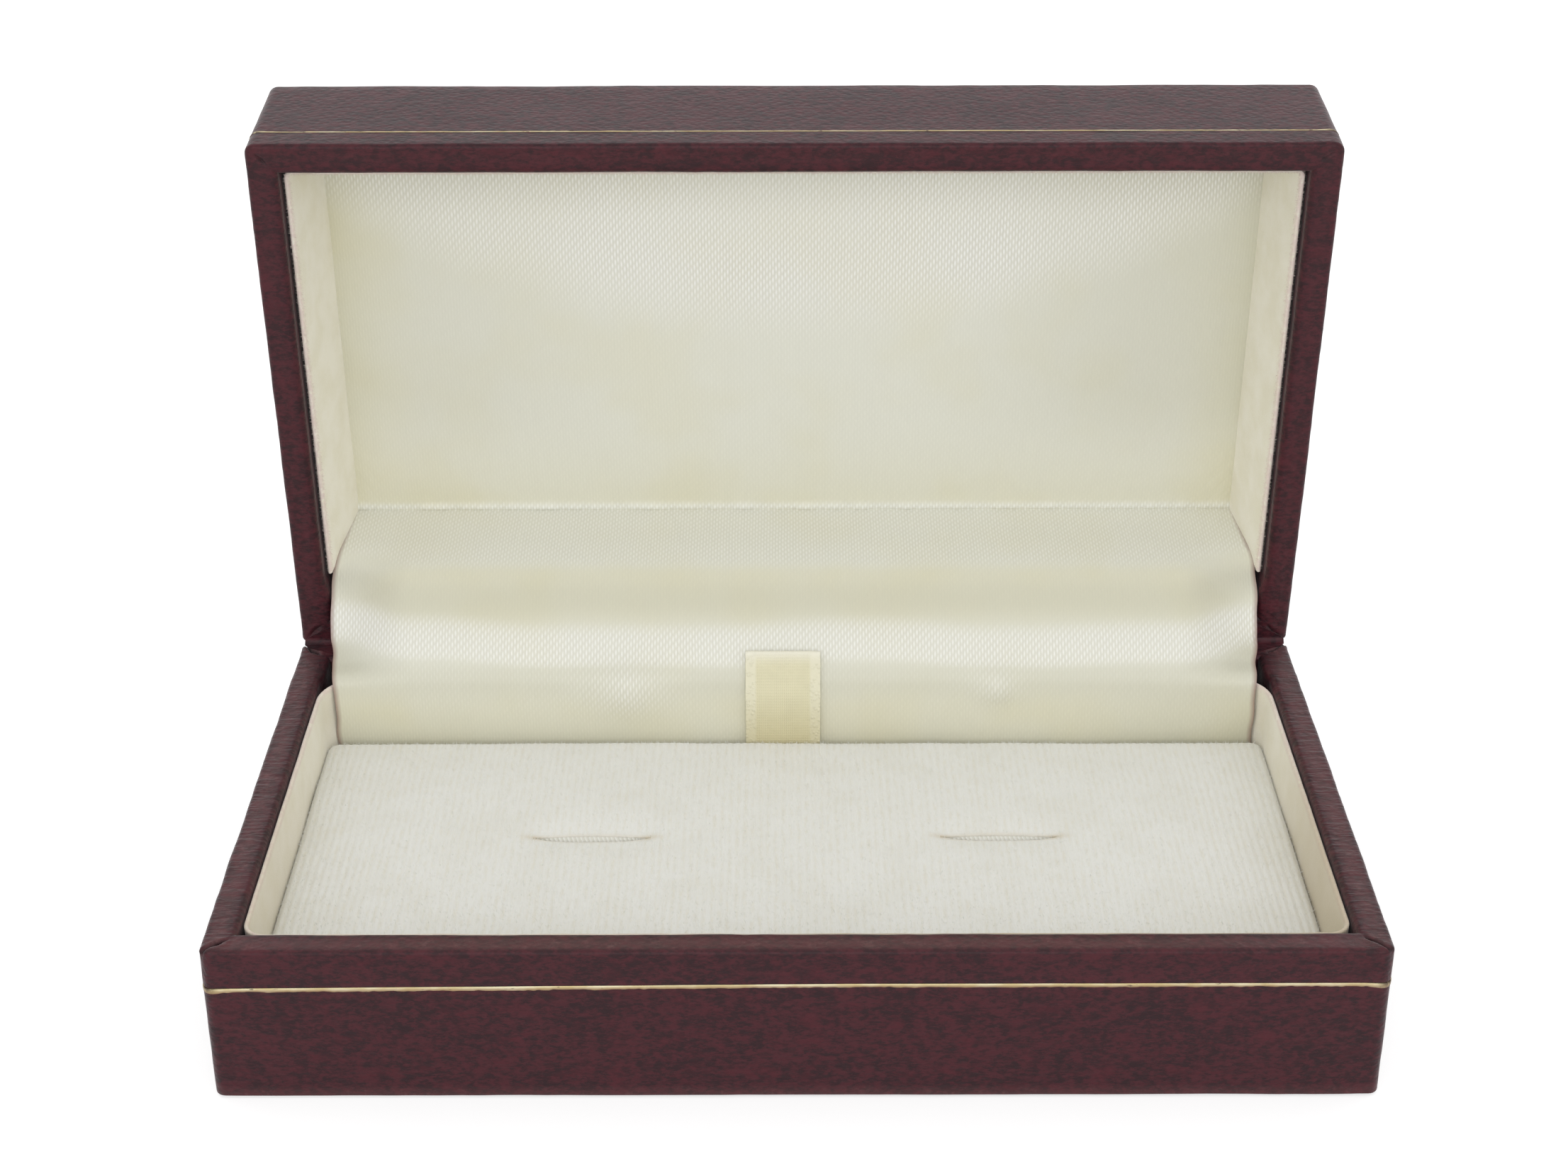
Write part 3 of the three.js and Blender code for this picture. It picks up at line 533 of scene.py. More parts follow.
LEATHER_FINISH = leatherette("burgundy_leatherette")
RIM_FINISHES = {
    "base": leatherette("burgundy_leatherette_creased", wrinkled=1.0),
    "lid": leatherette("burgundy_leatherette_lid_rim", wrinkled=0.25),
}
GOLD_FINISH = gold_foil("pale_gold_foil")
VELOUR_FINISH = velour("cream_velour")
SATIN_FINISH = satin("cream_satin")
CORD_FINISH = needlecord("off_white_needlecord")
PILE_FINISH = pile("needlecord_pile", colour(236, 236, 231))
EDGE_PILE_FINISH = pile("velour_edge_pile", colour(232, 218, 210))
RIBBON_FINISH = woven_ribbon("cream_ribbon")
TAPE_FINISH = slot_tape_weave("white_slot_tape")
BOARD_FINISH = grey_board("grey_board")
STEEL_FINISH = spring_steel("spring_steel")
SHEET_FINISH = covering_sheet("bottom_covering_sheet")


# Shapes of numbers

def smooth(x, low, high):
    """Nought at low, one at high, smooth between them."""
    t = np.clip((np.asarray(x, float) - low) / (high - low), 0, 1)
    return t * t * (3 - 2 * t)


def hill(x, width):
    """One where x is nought, falling off smoothly on both sides."""
    return np.exp(-((x / width) ** 2))


def cloud(points, size, seed=0):
    """Smooth noise from -1 to 1 at each point, with lumps of that size."""
    p = np.asarray(points, float) / size + np.array([19.19, 7.73, 3.11]) * (seed + 1)
    cell = np.floor(p).astype(np.int64)
    f = p - cell
    f = f * f * f * (f * (f * 6 - 15) + 10)
    total = np.zeros(p.shape[:-1])
    for corner in itertools.product((0, 1), repeat=3):
        at = cell + np.array(corner)
        h = at[..., 0] * 374761393 + at[..., 1] * 668265263 + at[..., 2] * 1440662683 + seed * 974711
        h = h & 0xFFFFFFFF
        h = ((h ^ (h >> 13)) * 1274126177) & 0xFFFFFFFF
        h = (h ^ (h >> 16)) & 0xFFFF
        weight = np.prod(np.where(np.array(corner) == 1, f, 1 - f), axis=-1)
        total += weight * (h / 32767.5 - 1)
    return total


def graded(length, near, far, growth=1.22):
    """Shares of a length, closely spaced at its ends."""
    steps, total, step = [], 0, near
    while total < length / 2:
        steps.append(step)
        total += step
        step = min(step * growth, far)
    half = np.concatenate([[0], np.cumsum(steps)]) / total / 2
    return np.concatenate([half, 1 - half[-2::-1]])


def lengths_along(line):
    """How far along a line each of its points is."""
    return np.concatenate([[0], np.cumsum(np.linalg.norm(np.diff(line, axis=0), axis=1))])


def edge_distance(x, y, box):
    """How far a point lies inside a box of left, right, front and back."""
    left, right, front, back = box
    return np.minimum.reduce([x - left, right - x, y - front, back - y])


# The open lid

def opening():
    """From the lid as built shut, its rim plane at nought, to the lid as it stands open."""
    shift = Matrix.Translation((0, -HALF_DEPTH, CLOSED_GAP / 2))
    turn = Matrix.Rotation(math.radians(-OPEN_ANGLE), 4, "X")
    return np.array(Matrix.Translation(Vector(HINGE)) @ turn @ shift)


OPENING = opening()


def opened(points):
    """Points of the shut lid, moved to where they are in the open box."""
    return np.asarray(points, float) @ OPENING[:3, :3].T + OPENING[:3, 3]


def in_open_box(from_back, from_rim):
    """Where a point of the lid stands, given how far it is from the back face and behind the rim."""
    return opened([0, HALF_DEPTH - from_back, from_rim])[1:]


# Meshes from grids of points

def grid_faces(rows, columns, wrap_rows=False, wrap_columns=False):
    """Quads of a grid of points, counted row by row."""
    i = np.arange(rows if wrap_rows else rows - 1)
    j = np.arange(columns if wrap_columns else columns - 1)
    i, j = np.meshgrid(i, j, indexing="ij")
    n, m = (i + 1) % rows, (j + 1) % columns
    quads = np.stack([i * columns + j, i * columns + m, n * columns + m, n * columns + j], -1)
    return quads.reshape(-1, 4)


def border(rows, columns):
    """The points round the outside of a grid, in order."""
    return np.concatenate([
        np.arange(columns - 1),
        np.arange(rows - 1) * columns + columns - 1,
        (rows - 1) * columns + np.arange(columns - 1, 0, -1),
        np.arange(rows - 1, 0, -1) * columns,
    ])


def wall(upper, lower):
    """Quads down from one ring of points to another, facing out if the rings run anticlockwise."""
    return list(np.stack([upper, lower, np.roll(lower, -1), np.roll(upper, -1)], -1))


def facing_out(points, faces):
    """The same faces, turned round if the closed shape that they make is inside out."""
    faces = [np.asarray(f).tolist() for f in faces]
    volume = 0
    for corners in {len(f) for f in faces}:
        loops = points[np.array([f for f in faces if len(f) == corners])]
        for k in range(1, corners - 1):
            volume += np.sum(loops[:, 0] * np.cross(loops[:, k], loops[:, k + 1]))
    return [f[::-1] for f in faces] if volume < 0 else faces


def grid_normals(points, wrap_rows=False, wrap_columns=False):
    """Unit normals of a grid of points, from its rows and columns."""
    def slope(axis, wrap):
        if wrap:
            return np.roll(points, -1, axis) - np.roll(points, 1, axis)
        return np.gradient(points, axis=axis)
    normals = np.cross(slope(1, wrap_columns), slope(0, wrap_rows))
    return normals / np.maximum(np.linalg.norm(normals, axis=-1, keepdims=True), 1e-9)


def build(name, points, faces, material, marks=None, flat=None, crisp=None, closed=True):
    """A mesh piece from millimetre points. marks are numbers on points, flat is the cloth's UV on points."""
    points = np.asarray(points, float).reshape(-1, 3)
    faces = facing_out(points, faces) if closed else faces.tolist()
    mesh = bpy.data.meshes.new(name)
    mesh.from_pydata((points / 1000).tolist(), [], faces)
    mesh.polygons.foreach_set("use_smooth", np.ones(len(mesh.polygons), bool))
    if crisp is not None:
        mesh.set_sharp_from_angle(angle=math.radians(crisp))
    for key, values in (marks or {}).items():
        layer = mesh.attributes.new(key, "FLOAT", "POINT")
        layer.data.foreach_set("value", np.asarray(values, np.float32).ravel())
    if flat is not None:
        corners = np.zeros(len(mesh.loops), np.int32)
        mesh.loops.foreach_get("vertex_index", corners)
        uv = mesh.uv_layers.new(name="cloth")
        uv.data.foreach_set("uv", (np.asarray(flat, np.float32).reshape(-1, 2)[corners] / 100).ravel())
    mesh.materials.append(material)
    mesh.validate()
    return link(bpy.data.objects.new(name, mesh))


def closed_between(name, first, second, material, flat, marks, crisp=50):
    """A piece between two grids of points, closed round their edges."""
    rows, columns = first.shape[:2]
    size = rows * columns
    quads = grid_faces(rows, columns)
    ring = border(rows, columns)
    faces = [*quads, *(quads[:, ::-1] + size), *wall(ring, ring + size)]
    points, flat = np.concatenate([first, second]), np.concatenate([flat, flat])
    marks = {key: np.concatenate([value, value]) for key, value in marks.items()}
    return build(name, points, faces, material, marks, flat, crisp)


def sheet_piece(name, middle, thickness, material, flat, marks):
    """Gives a grid of points a thickness."""
    out = grid_normals(middle) * thickness / 2
    return closed_between(name, middle + out, middle - out, material, flat, marks)


def swept(x, line):
    """A grid of points: each row of x at the Y and Z that the line has there."""
    shape = (len(line), x.shape[-1])
    return np.stack([np.broadcast_to(v, shape) for v in (x, line[:, :1], line[:, 1:2])], -1)


def unrolled(x, length):
    """The flat cloth's places for a grid: across from x, and along from each row's length."""
    return np.stack([x + 50, np.broadcast_to(length[:, None], x.shape)], -1)


# Sections and outlines

def quarter(inset, height, radius, start, end, steps=6):
    """An arc of a section, its angles in degrees."""
    angles = np.radians(np.linspace(start, end, steps + 1))
    return [(inset + radius * math.cos(a), height + radius * math.sin(a)) for a in angles]


def stepped(section, longest):
    """A section with its long stretches cut shorter."""
    done = [section[0]]
    for point in section[1:]:
        first = done[-1]
        steps = max(1, round(math.dist(first, point) / longest))
        shares = np.linspace(0, 1, steps + 1)[1:-1]
        done += [(first[0] + (point[0] - first[0]) * s, first[1] + (point[1] - first[1]) * s) for s in shares]
        done.append(point)
    return done


class Plan:
    """The box's rounded outline, sampled alike at every inset so that outlines join point by point."""

    def __init__(self, longest_step, nearest_step=0.09, corner_steps=6):
        self.turns = np.linspace(0, 1, corner_steps + 1)
        self.shares = [graded(2 * half, nearest_step, longest_step) for half in (HALF_WIDTH, HALF_DEPTH)]

    def outline(self, inset):
        x, y = HALF_WIDTH - inset, HALF_DEPTH - inset
        front, back = (max(r - inset, LEAST_RADIUS) for r in (CORNER_RADIUS, BACK_CORNER_RADIUS))
        corners = [(x - back, y - back, back), (back - x, y - back, back),
                   (front - x, front - y, front), (x - front, front - y, front)]
        arcs = []
        for k, (middle_x, middle_y, r) in enumerate(corners):
            angle = (k + self.turns) * math.pi / 2
            arcs.append(np.stack([middle_x + r * np.cos(angle), middle_y + r * np.sin(angle)], -1))
        points = []
        for k, arc in enumerate(arcs):
            start, end = arc[-1], arcs[(k + 1) % 4][0]
            shares = self.shares[k % 2][1:-1, None]
            points += [arc, start + (end - start) * shares]
        return np.concatenate(points)

    def loft(self, section):
        """A grid of points: one outline for each inset and height."""
        rings = []
        for inset, height in section:
            ring = self.outline(inset)
            rings.append(np.column_stack([ring, np.full(len(ring), height)]))
        return np.array(rings)


BOX_PLAN = Plan(longest_step=0.7)
GOLD_PLAN = Plan(longest_step=0.16)


# Leather coverings and the gold line

def outward_normals(points, closed=True):
    """Unit normals of a lofted covering, pointing out of the box."""
    normals = grid_normals(points, closed, True)
    return normals * np.sign(np.sum(normals[1, :, :2] * points[1, :, :2], -1).mean())


def covering(half, name, points, material, marks, crisp=50, capped=False):
    """A lofted covering, its section closed on itself or ended by two flat caps, in the box as it stands."""
    rows, columns = points.shape[:2]
    faces = list(grid_faces(rows, columns, not capped, True))
    if capped:
        faces += [np.arange(columns)[::-1], np.arange(columns) + (rows - 1) * columns]
    if half is LID:
        points = opened(points)
    return build(half.name + name, points, faces, material, marks, crisp=crisp)


def gold_lower_edge(points):
    """How far the gold's lower edge wanders at a point."""
    flat = points * [1, 1, 0]
    return 0.05 * cloud(flat, 1.1, 11) + 0.05 * cloud(flat, 0.4, 12) + 0.03 * cloud(flat, 8, 13)


def corner_dip(points):
    """The strip runs down a little where it comes to a front corner."""
    near_front = smooth(-points[..., 1], HALF_DEPTH - 1.2, HALF_DEPTH - 0.3)
    return 0.2 * smooth(np.abs(points[..., 0]), 44.8, 47.3) * near_front


def strip_slope(points):
    """The base's strip was laid low at the front left, and runs up to its right height."""
    left = np.clip((4 - points[..., 0]) / 50, 0, 1)
    return 0.36 * left * smooth(-points[..., 1], -HALF_DEPTH, HALF_DEPTH)


def mitre_marks(points, half):
    """How far each point is into a rim's folded corner seams: groove, pit in it, and swollen sides."""
    x, y, z = np.moveaxis(points, -1, 0)
    inward_x, inward_y = HALF_WIDTH - np.abs(x), HALF_DEPTH - np.abs(y)
    share = (inward_x + inward_y) / 2 / RIM_WIDTH
    wander = 0.16 * cloud(points, 0.9, 3) + 0.1 * np.sin(share * 5 + np.sign(x))
    off = (inward_x - inward_y) / math.sqrt(2) - 0.12 + wander
    start, end = half.mitre
    on_top = smooth(half.up * (z - half.rim), -0.7, -0.2)
    on_top = on_top * smooth(share, start, start + 0.1) * smooth(share, end + 0.1, end - 0.05)
    groove = hill(off, 0.12) * on_top
    pit = hill(off, 0.2) * hill(share - 0.62 - 0.1 * np.sign(x), 0.13) * on_top
    swell = (hill(off - 0.38, 0.22) + 0.5 * hill(off + 0.36, 0.2)) * on_top
    return groove, pit, swell


def rim_cover(half):
    """Leather over the rim: up the outside, over the rounded edge and down inside, with folded corners."""
    turned = RIM_WIDTH - LEATHER
    outside = [(0, -half.band)] + quarter(EDGE_RADIUS, -EDGE_RADIUS, EDGE_RADIUS, 180, 90)
    over = quarter(RIM_INSIDE - INNER_EDGE_RADIUS, -INNER_EDGE_RADIUS, INNER_EDGE_RADIUS, 90, 0, 5)
    shown = stepped(outside + over, 0.16)
    hidden = [(RIM_INSIDE, -INSIDE_TURN), (turned, -INSIDE_TURN), (turned, -LEATHER), (LEATHER, -LEATHER),
              (LEATHER, -half.band)]
    section = [(inset, half.rim + half.up * rise) for inset, rise in shown + hidden]
    insets = np.array([inset for inset, _ in section])[:, None]
    skin = np.zeros_like(insets)
    skin[1 : len(shown)] = 1
    points = BOX_PLAN.loft(section)
    normals = outward_normals(points)
    groove, pit, swell = mitre_marks(points, half)
    bulk = 0.03 * cloud(points, 5, 1) + 0.02 * cloud(points, 1.6, 2)
    sides = smooth(np.abs(points[..., 0]), 44.6, 45.6)
    creases = 0.016 * cloud(points * [0.25, 1, 0.4], 0.55, 5) * sides
    shift = bulk + creases - half.groove * groove - half.pit * pit + 0.07 * swell
    points = points + normals * (np.minimum(shift, 0.09) * skin)[..., None]
    if half is BASE:
        points[[0, -1], :, 2] -= strip_slope(points[[0, -1]])
    bunched = smooth(points[..., 1], 18.7, 20.3) * smooth(insets, RIM_WIDTH - 1.1, RIM_WIDTH - 0.2)
    limit = HALF_WIDTH - insets - 0.4 * bunched
    past = np.maximum(np.abs(points[..., 0]) - limit, 0) * (bunched > 0)
    points[..., 0] -= 0.95 * past * np.sign(points[..., 0])
    # The rim's top is marked lighter, scuffed wear and painted highlight together, strongest on the base.
    on_top = smooth(insets, -0.1, 0.9) * smooth(insets, 2.4, 1.3) * skin
    seam = half.seam * np.clip(groove * 0.8 + pit, 0, 1) * skin
    marks = {"edge": half.top_wear_and_highlight * on_top + 0 * groove, "seam": seam}
    return covering(half, "_rim_leather", points, RIM_FINISHES[half.name], marks, crisp=60)


def gold_strip(half):
    """The gold line, let in between the two coverings. Its lower edge wanders."""
    proud = -0.045
    near = half.rim - half.up * (half.band + 0.02)
    far = half.rim - half.up * (half.band + half.gold)
    upper = [(0.2, near), (proud + 0.02, near), (proud, near - half.up * 0.05)]
    lower = [(proud, far + half.up * 0.05), (proud + 0.02, far), (0.2, far)]
    points = GOLD_PLAN.loft(upper + lower)
    low = np.array([0] * len(upper) + [1] * len(lower))[:, None]
    drop = corner_dip(points) * (0.4 + 0.6 * low) - low * gold_lower_edge(points)
    points[..., 2] -= half.up * drop
    points[..., 2] += (1 - low) * 0.012 * cloud(points, 2.5, 14)
    if half is BASE:
        points[..., 2] -= strip_slope(points) * (1 + 0.15 * low)
    chip = smooth(np.abs(points[..., 0]), 46.0, 47.2) * smooth(-points[..., 1], 25.0, 25.3) * (1 - 0.7 * low)
    return covering(half, "_gold", points, GOLD_FINISH, {"chip": chip, "low": low + 0 * chip})


def body_section(half, edge):
    """From the gold line over the walls: the base's turns in underneath, the lid's ends flat on its top."""
    if half is BASE:
        inner = WRAP_BOTTOM + LEATHER
        section = stepped([(0, edge), (0, 6), (0, WRAP_BOTTOM + BOTTOM_RADIUS)], 1.0)
        section += quarter(BOTTOM_RADIUS, WRAP_BOTTOM + BOTTOM_RADIUS, BOTTOM_RADIUS, 180, 270)[1:]
        return section + [(TURN_IN, WRAP_BOTTOM), (TURN_IN, inner), (LEATHER, inner), (LEATHER, edge)]
    inner = LID_HEIGHT - LEATHER
    section = [(FLAT_INSET, inner), (LEATHER, inner), (LEATHER, edge)]
    section += stepped([(0, edge), (0, 9), (0, LID_HEIGHT - EDGE_RADIUS)], 1.0)
    section += quarter(EDGE_RADIUS, LID_HEIGHT - EDGE_RADIUS, EDGE_RADIUS, 180, 90)[1:-1]
    return section + stepped([(EDGE_RADIUS, LID_HEIGHT), (FLAT_INSET, LID_HEIGHT)], 1.0)


def body_cover(half):
    """The larger covering. Its edge follows the gold's wandering lower edge."""
    edge_height = half.rim - half.up * (half.band + half.gold - 0.02)
    section = body_section(half, edge_height)
    insets, heights = np.array(section).T[..., None]
    capped = half is LID
    points = BOX_PLAN.loft(section)
    normals = outward_normals(points, not capped)
    on_top = (heights == LID_HEIGHT) & (insets > EDGE_RADIUS)
    normals[on_top[:, 0]] = (0, 0, 1)
    skin = np.where(insets < LEATHER, 1, smooth(insets, FLAT_INSET, 2.0) * (heights == LID_HEIGHT))
    bulk = 0.05 * cloud(points, 7, 21) + 0.022 * cloud(points, 1.8, 22)
    points = points + normals * (np.minimum(bulk, 0.07) * skin)[..., None]
    at_edge = np.abs(heights - edge_height) < 0.01
    points[..., 2] += half.up * at_edge * (gold_lower_edge(points) - 0.02 - corner_dip(points) * 0.9)
    if half is BASE:
        points[..., 2] -= at_edge * strip_slope(points) * 1.15
    corner = np.minimum(np.abs(heights - WRAP_BOTTOM), np.abs(heights - LID_HEIGHT) + insets)
    seam = np.zeros(points.shape[:2])
    marks = {"edge": hill(corner, EDGE_WEAR) * skin + seam, "seam": seam}
    return covering(half, "_body_leather", points, LEATHER_FINISH, marks, capped=capped)


for make, node, slot in (
    (rim_cover, "_rim_wrap", "leatherette"),
    (gold_strip, "_gold_line", "gold_line"),
    (body_cover, "_body_wrap", "leatherette"),
):
    for half in (BASE, LID):
        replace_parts(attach(make(half), half.name), half.name + node)


# Pile and ribs

def rib_grower():
    """Raises needlecord ribs that run from front to back and wander a little."""
    tree = Grower(
        "needlecord_ribs", rib_pitch=0.00068, rib_height=0.0001, wander=0.0001, wander_size=0.009, seed=3
    )
    cloth, pitch, height, wander, size, seed = tree.given
    point = tree.node("GeometryNodeInputPosition")
    across = tree.node("ShaderNodeSeparateXYZ", None, {0: point})
    turn = tree.node("ShaderNodeTexNoise", {"noise_dimensions": "4D"},
                     {"Vector": point, "W": seed * 3.7, "Scale": 1 / size, "Detail": 1.0})
    ridge = ((across + (turn - 0.5) * wander * 2) / pitch).wave() * 0.5 + 0.5
    nap = tree.node("GeometryNodeInputNamedAttribute", {"data_type": "FLOAT"}, {"Name": "nap"})
    normal = tree.node("GeometryNodeInputNormal")
    rise = ridge ** 0.8 * height * nap
    offset = tree.node("ShaderNodeVectorMath", {"operation": "SCALE"}, {0: normal, "Scale": rise})
    raised = tree.node("GeometryNodeSetPosition", None, {"Geometry": cloth, "Offset": offset})
    marked = tree.node("GeometryNodeStoreNamedAttribute", {"data_type": "FLOAT", "domain": "POINT"},
                       {"Geometry": raised, "Name": "furrow", "Value": (1 - ridge) * nap})
    tree.finish(marked, CORD_FINISH)
    return tree


def pile_grower(material, name):
    """Stands short fibres on a piece's faces, leaning this way and that."""
    tree = Grower(name, density=10e6, fibre_length=0.0003, fibre_width=0.00003, lean=0.5, seed=1)
    cloth, density, length, width, lean, seed = tree.given
    points = tree.node("GeometryNodeDistributePointsOnFaces", None,
                       {"Mesh": cloth, "Density": density, "Seed": seed}, out="Points")
    rotation = Value(tree, points.socket.node.outputs["Rotation"])
    fibre = tree.node("GeometryNodeMeshCone", {"fill_type": "NONE"},
                      {"Vertices": 3, "Radius Top": width * 0.3, "Radius Bottom": width, "Depth": length})
    back = lean * -1
    tilt = tree.node("FunctionNodeRandomValue", {"data_type": "FLOAT_VECTOR"},
                     {0: tree.node("ShaderNodeCombineXYZ", None, {0: back, 1: back, 2: -3.0}),
                      1: tree.node("ShaderNodeCombineXYZ", None, {0: lean, 1: lean, 2: 3.0}), "Seed": seed})
    leaning = tree.node("FunctionNodeRotateRotation", {"rotation_space": "LOCAL"}, {0: rotation, 1: tilt})
    sizes = tree.node("FunctionNodeRandomValue", {"data_type": "FLOAT"},
                      {2: 0.6, 3: 1.25, "Seed": seed}, out=1)
    stood = tree.node("GeometryNodeInstanceOnPoints", None,
                      {"Points": points, "Instance": fibre, "Rotation": leaning, "Scale": sizes})
    tree.finish(stood, material)
    return tree


# Velour liners

def liner_path(inset, front_radius, back, back_radius=0.0, curl=0.0):
    """The liner's outer line from its right back end round the front to its left one, with inward normals.

    The base's ends curl in behind the satin, round a back radius and on for the length of the curl.
    """
    side, front = HALF_WIDTH - inset, inset - HALF_DEPTH

    def arc(x, y, r, start, end, steps):
        a = np.radians(np.linspace(start, end, steps + 1))
        return np.stack([x + r * np.cos(a), y + r * np.sin(a), -np.cos(a), -np.sin(a)], -1)

    def straight(start, end, inward, near=0.3, far=1.0):
        shares = graded(math.dist(start, end), near, far)[1:-1, None]
        line = np.array(start) + (np.array(end) - start) * shares
        return np.hstack([line, np.broadcast_to(inward, line.shape)])

    if curl:
        right = [np.array([[side - curl, back, 0, -1]]),
                 arc(side - back_radius, back - back_radius, back_radius, 90, 0, 14)]
    else:
        right = [np.array([[side, back, -1, 0]])]
    right += [straight((side, back - back_radius), (side, front + front_radius), (-1, 0)),
              arc(side - front_radius, front + front_radius, front_radius, 0, -90, 10)]
    right = np.concatenate(right)
    middle = straight((side - front_radius, front), (front_radius - side, front), (0, 1))
    return np.concatenate([right, middle, right[::-1] * [-1, 1, -1, 1]])


def liner(half, path, foot, edge, lean):
    """A card band covered in velour, its shown edge rounded and its foot leaning in.

    Gives the band and the strip that its pile will stand on.
    """
    radius = LINER_THICKNESS / 2
    height = abs(edge - foot)
    shares = np.concatenate([np.linspace(0, 0.8, 9), np.linspace(0.86, 1 - radius / height, 4)])
    outer = [(lean * (1 - s), s * height) for s in shares]
    round_top = [(radius - radius * math.cos(a), height - radius + radius * math.sin(a))
                 for a in np.linspace(0, math.pi, 7)[1:-1]]
    inner = [(inset + LINER_THICKNESS, rise) for inset, rise in outer[::-1]]
    section = np.array(outer + round_top + inner)
    offset, rise = section[:, :1], section[:, 1:]
    place, inward = path[None, :, :2], path[None, :, 2:]
    grid = np.ones((len(section), len(path)))
    heights = (foot + half.up * rise) * grid
    points = np.concatenate([place + inward * offset[..., None], heights[..., None]], -1)
    near_edge = smooth(rise, height - 1.6, height) * grid
    wave = 0.05 * cloud(points * [1, 1, 0], 3.2, 31) + 0.03 * cloud(points * [1, 1, 0], 0.8, 32)
    points[..., 2] += half.up * near_edge * np.minimum(wave, 0.05)
    bulge = 0.05 * cloud(points, 6, 33) * (1 - near_edge)
    points[..., :2] += inward * np.minimum(bulge, 0.06)[..., None]
    outward = (offset < lean + 0.1) & (np.arange(len(section))[:, None] < len(outer) + 2)
    # Painted shade: a slight even tint, then darker and yellower towards the base's front and more on its
    # right; in the lid, a dark spot in the liner's front-left corner.
    painted_shade = 0.1 + (0.4 + 0.15 * np.sign(points[..., 0])) * smooth(points[..., 1], 14, -12)
    if half is LID:
        painted_shade = 0.8 * hill(points[..., 0] + 42.6, 0.7) * hill(points[..., 1] + 22.0, 0.6)
        to_satin = np.interp(points[..., 2], [1.3, 5, 10], [0.72, 0.1, -0.45])
        points[..., 1] += to_satin * smooth(points[..., 1], 14, 17.9)
        points = opened(points)
    rows, columns = grid.shape
    faces = list(grid_faces(rows, columns, True))
    faces += [np.arange(rows)[::-1] * columns, np.arange(rows) * columns + columns - 1]
    marks = {"edge": smooth(rise, height - 0.45, height - 0.1) * grid,
             "backing": smooth(rise, height - 0.1, height - 0.35) * outward * grid, "painted_shade": painted_shade}
    name = half.name + "_velour_liner"
    band = build(name, points, faces, VELOUR_FINISH, marks, crisp=70)
    strip = points[len(outer) - 2 : len(outer) + len(round_top) + 2]
    fuzz = build(name + "_edge_pile", strip, grid_faces(*strip.shape[:2]), EDGE_PILE_FINISH, closed=False)
    return band, fuzz


base_path = liner_path(LINER_INSET, 2.0, HALF_DEPTH - 5.6, back_radius=4.5, curl=5.5)
lid_path = liner_path(LID_LINER_INSET, 0.7, HALF_DEPTH - 7.75)
edge_pile = pile_grower(EDGE_PILE_FINISH, "velour_edge_fibres")
for half, path, foot, edge, lean, seed in (
    (BASE, base_path, LINING_TOP + 0.1, BASE_HEIGHT - 0.4, 0.4, 5),
    (LID, lid_path, LID_HEIGHT - 1.6, 1.3, 1.6, 6),
):
    band, fuzz = liner(half, path, foot, edge, lean)
    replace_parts(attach(band, half.name), half.name + "_liner")
    edge_pile.grow(fuzz, density=45e6, fibre_length=0.00016, fibre_width=0.000014, lean=0.7, seed=seed)
    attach(fuzz, half.name)


# Cloth and steel that bend over the hinge

def smooth_line(points, steps):
    """A centripetal Catmull-Rom line through points, evenly spaced, and the length up to each result."""
    p = np.asarray(points, float)
    p = np.vstack([2 * p[0] - p[1], p, 2 * p[-1] - p[-2]])
    fine = []
    for k in range(1, len(p) - 2):
        p0, p1, p2, p3 = near = p[k - 1 : k + 3]
        t0, t1, t2, t3 = np.cumsum([0] + [math.dist(a, b) ** 0.5 for a, b in zip(near, near[1:])])
        t = np.linspace(t1, t2, 24, endpoint=False)[:, None]
        a1 = (t1 - t) / (t1 - t0) * p0 + (t - t0) / (t1 - t0) * p1
        a2 = (t2 - t) / (t2 - t1) * p1 + (t - t1) / (t2 - t1) * p2
        a3 = (t3 - t) / (t3 - t2) * p2 + (t - t2) / (t3 - t2) * p3
        b1 = (t2 - t) / (t2 - t0) * a1 + (t - t0) / (t2 - t0) * a2
        b2 = (t3 - t) / (t3 - t1) * a2 + (t - t1) / (t3 - t1) * a3
        fine.append((t2 - t) / (t2 - t1) * b1 + (t - t1) / (t2 - t1) * b2)
    fine = np.vstack(fine + [p[-2:-1]])
    length = lengths_along(fine)
    even = np.linspace(0, length[-1], steps + 1)
    return np.stack([np.interp(even, length, fine[:, i]) for i in range(p.shape[1])], -1), even


def bow_push(points):
    """How far the cloth is pushed out, by its own unevenness and by the bow behind it on either side."""
    x, _, z = np.moveaxis(points, -1, 0)
    push = 0.10 * cloud(points, 11, 41) + 0.035 * cloud(points, 4, 42)
    for side, push_height, wide, tall in (("left", 0.75, 3.4, 2.3), ("right", 0.5, 1.7, 1.3)):
        far = (np.abs(x - HINGES[side]) / wide) ** 1.4 + ((z - 13.5) / tall) ** 2
        push += push_height * np.exp(-far)
    return push + 0.16 * hill(x - HINGES["right"], 3.6) * hill(z - 15.2, 1.6)


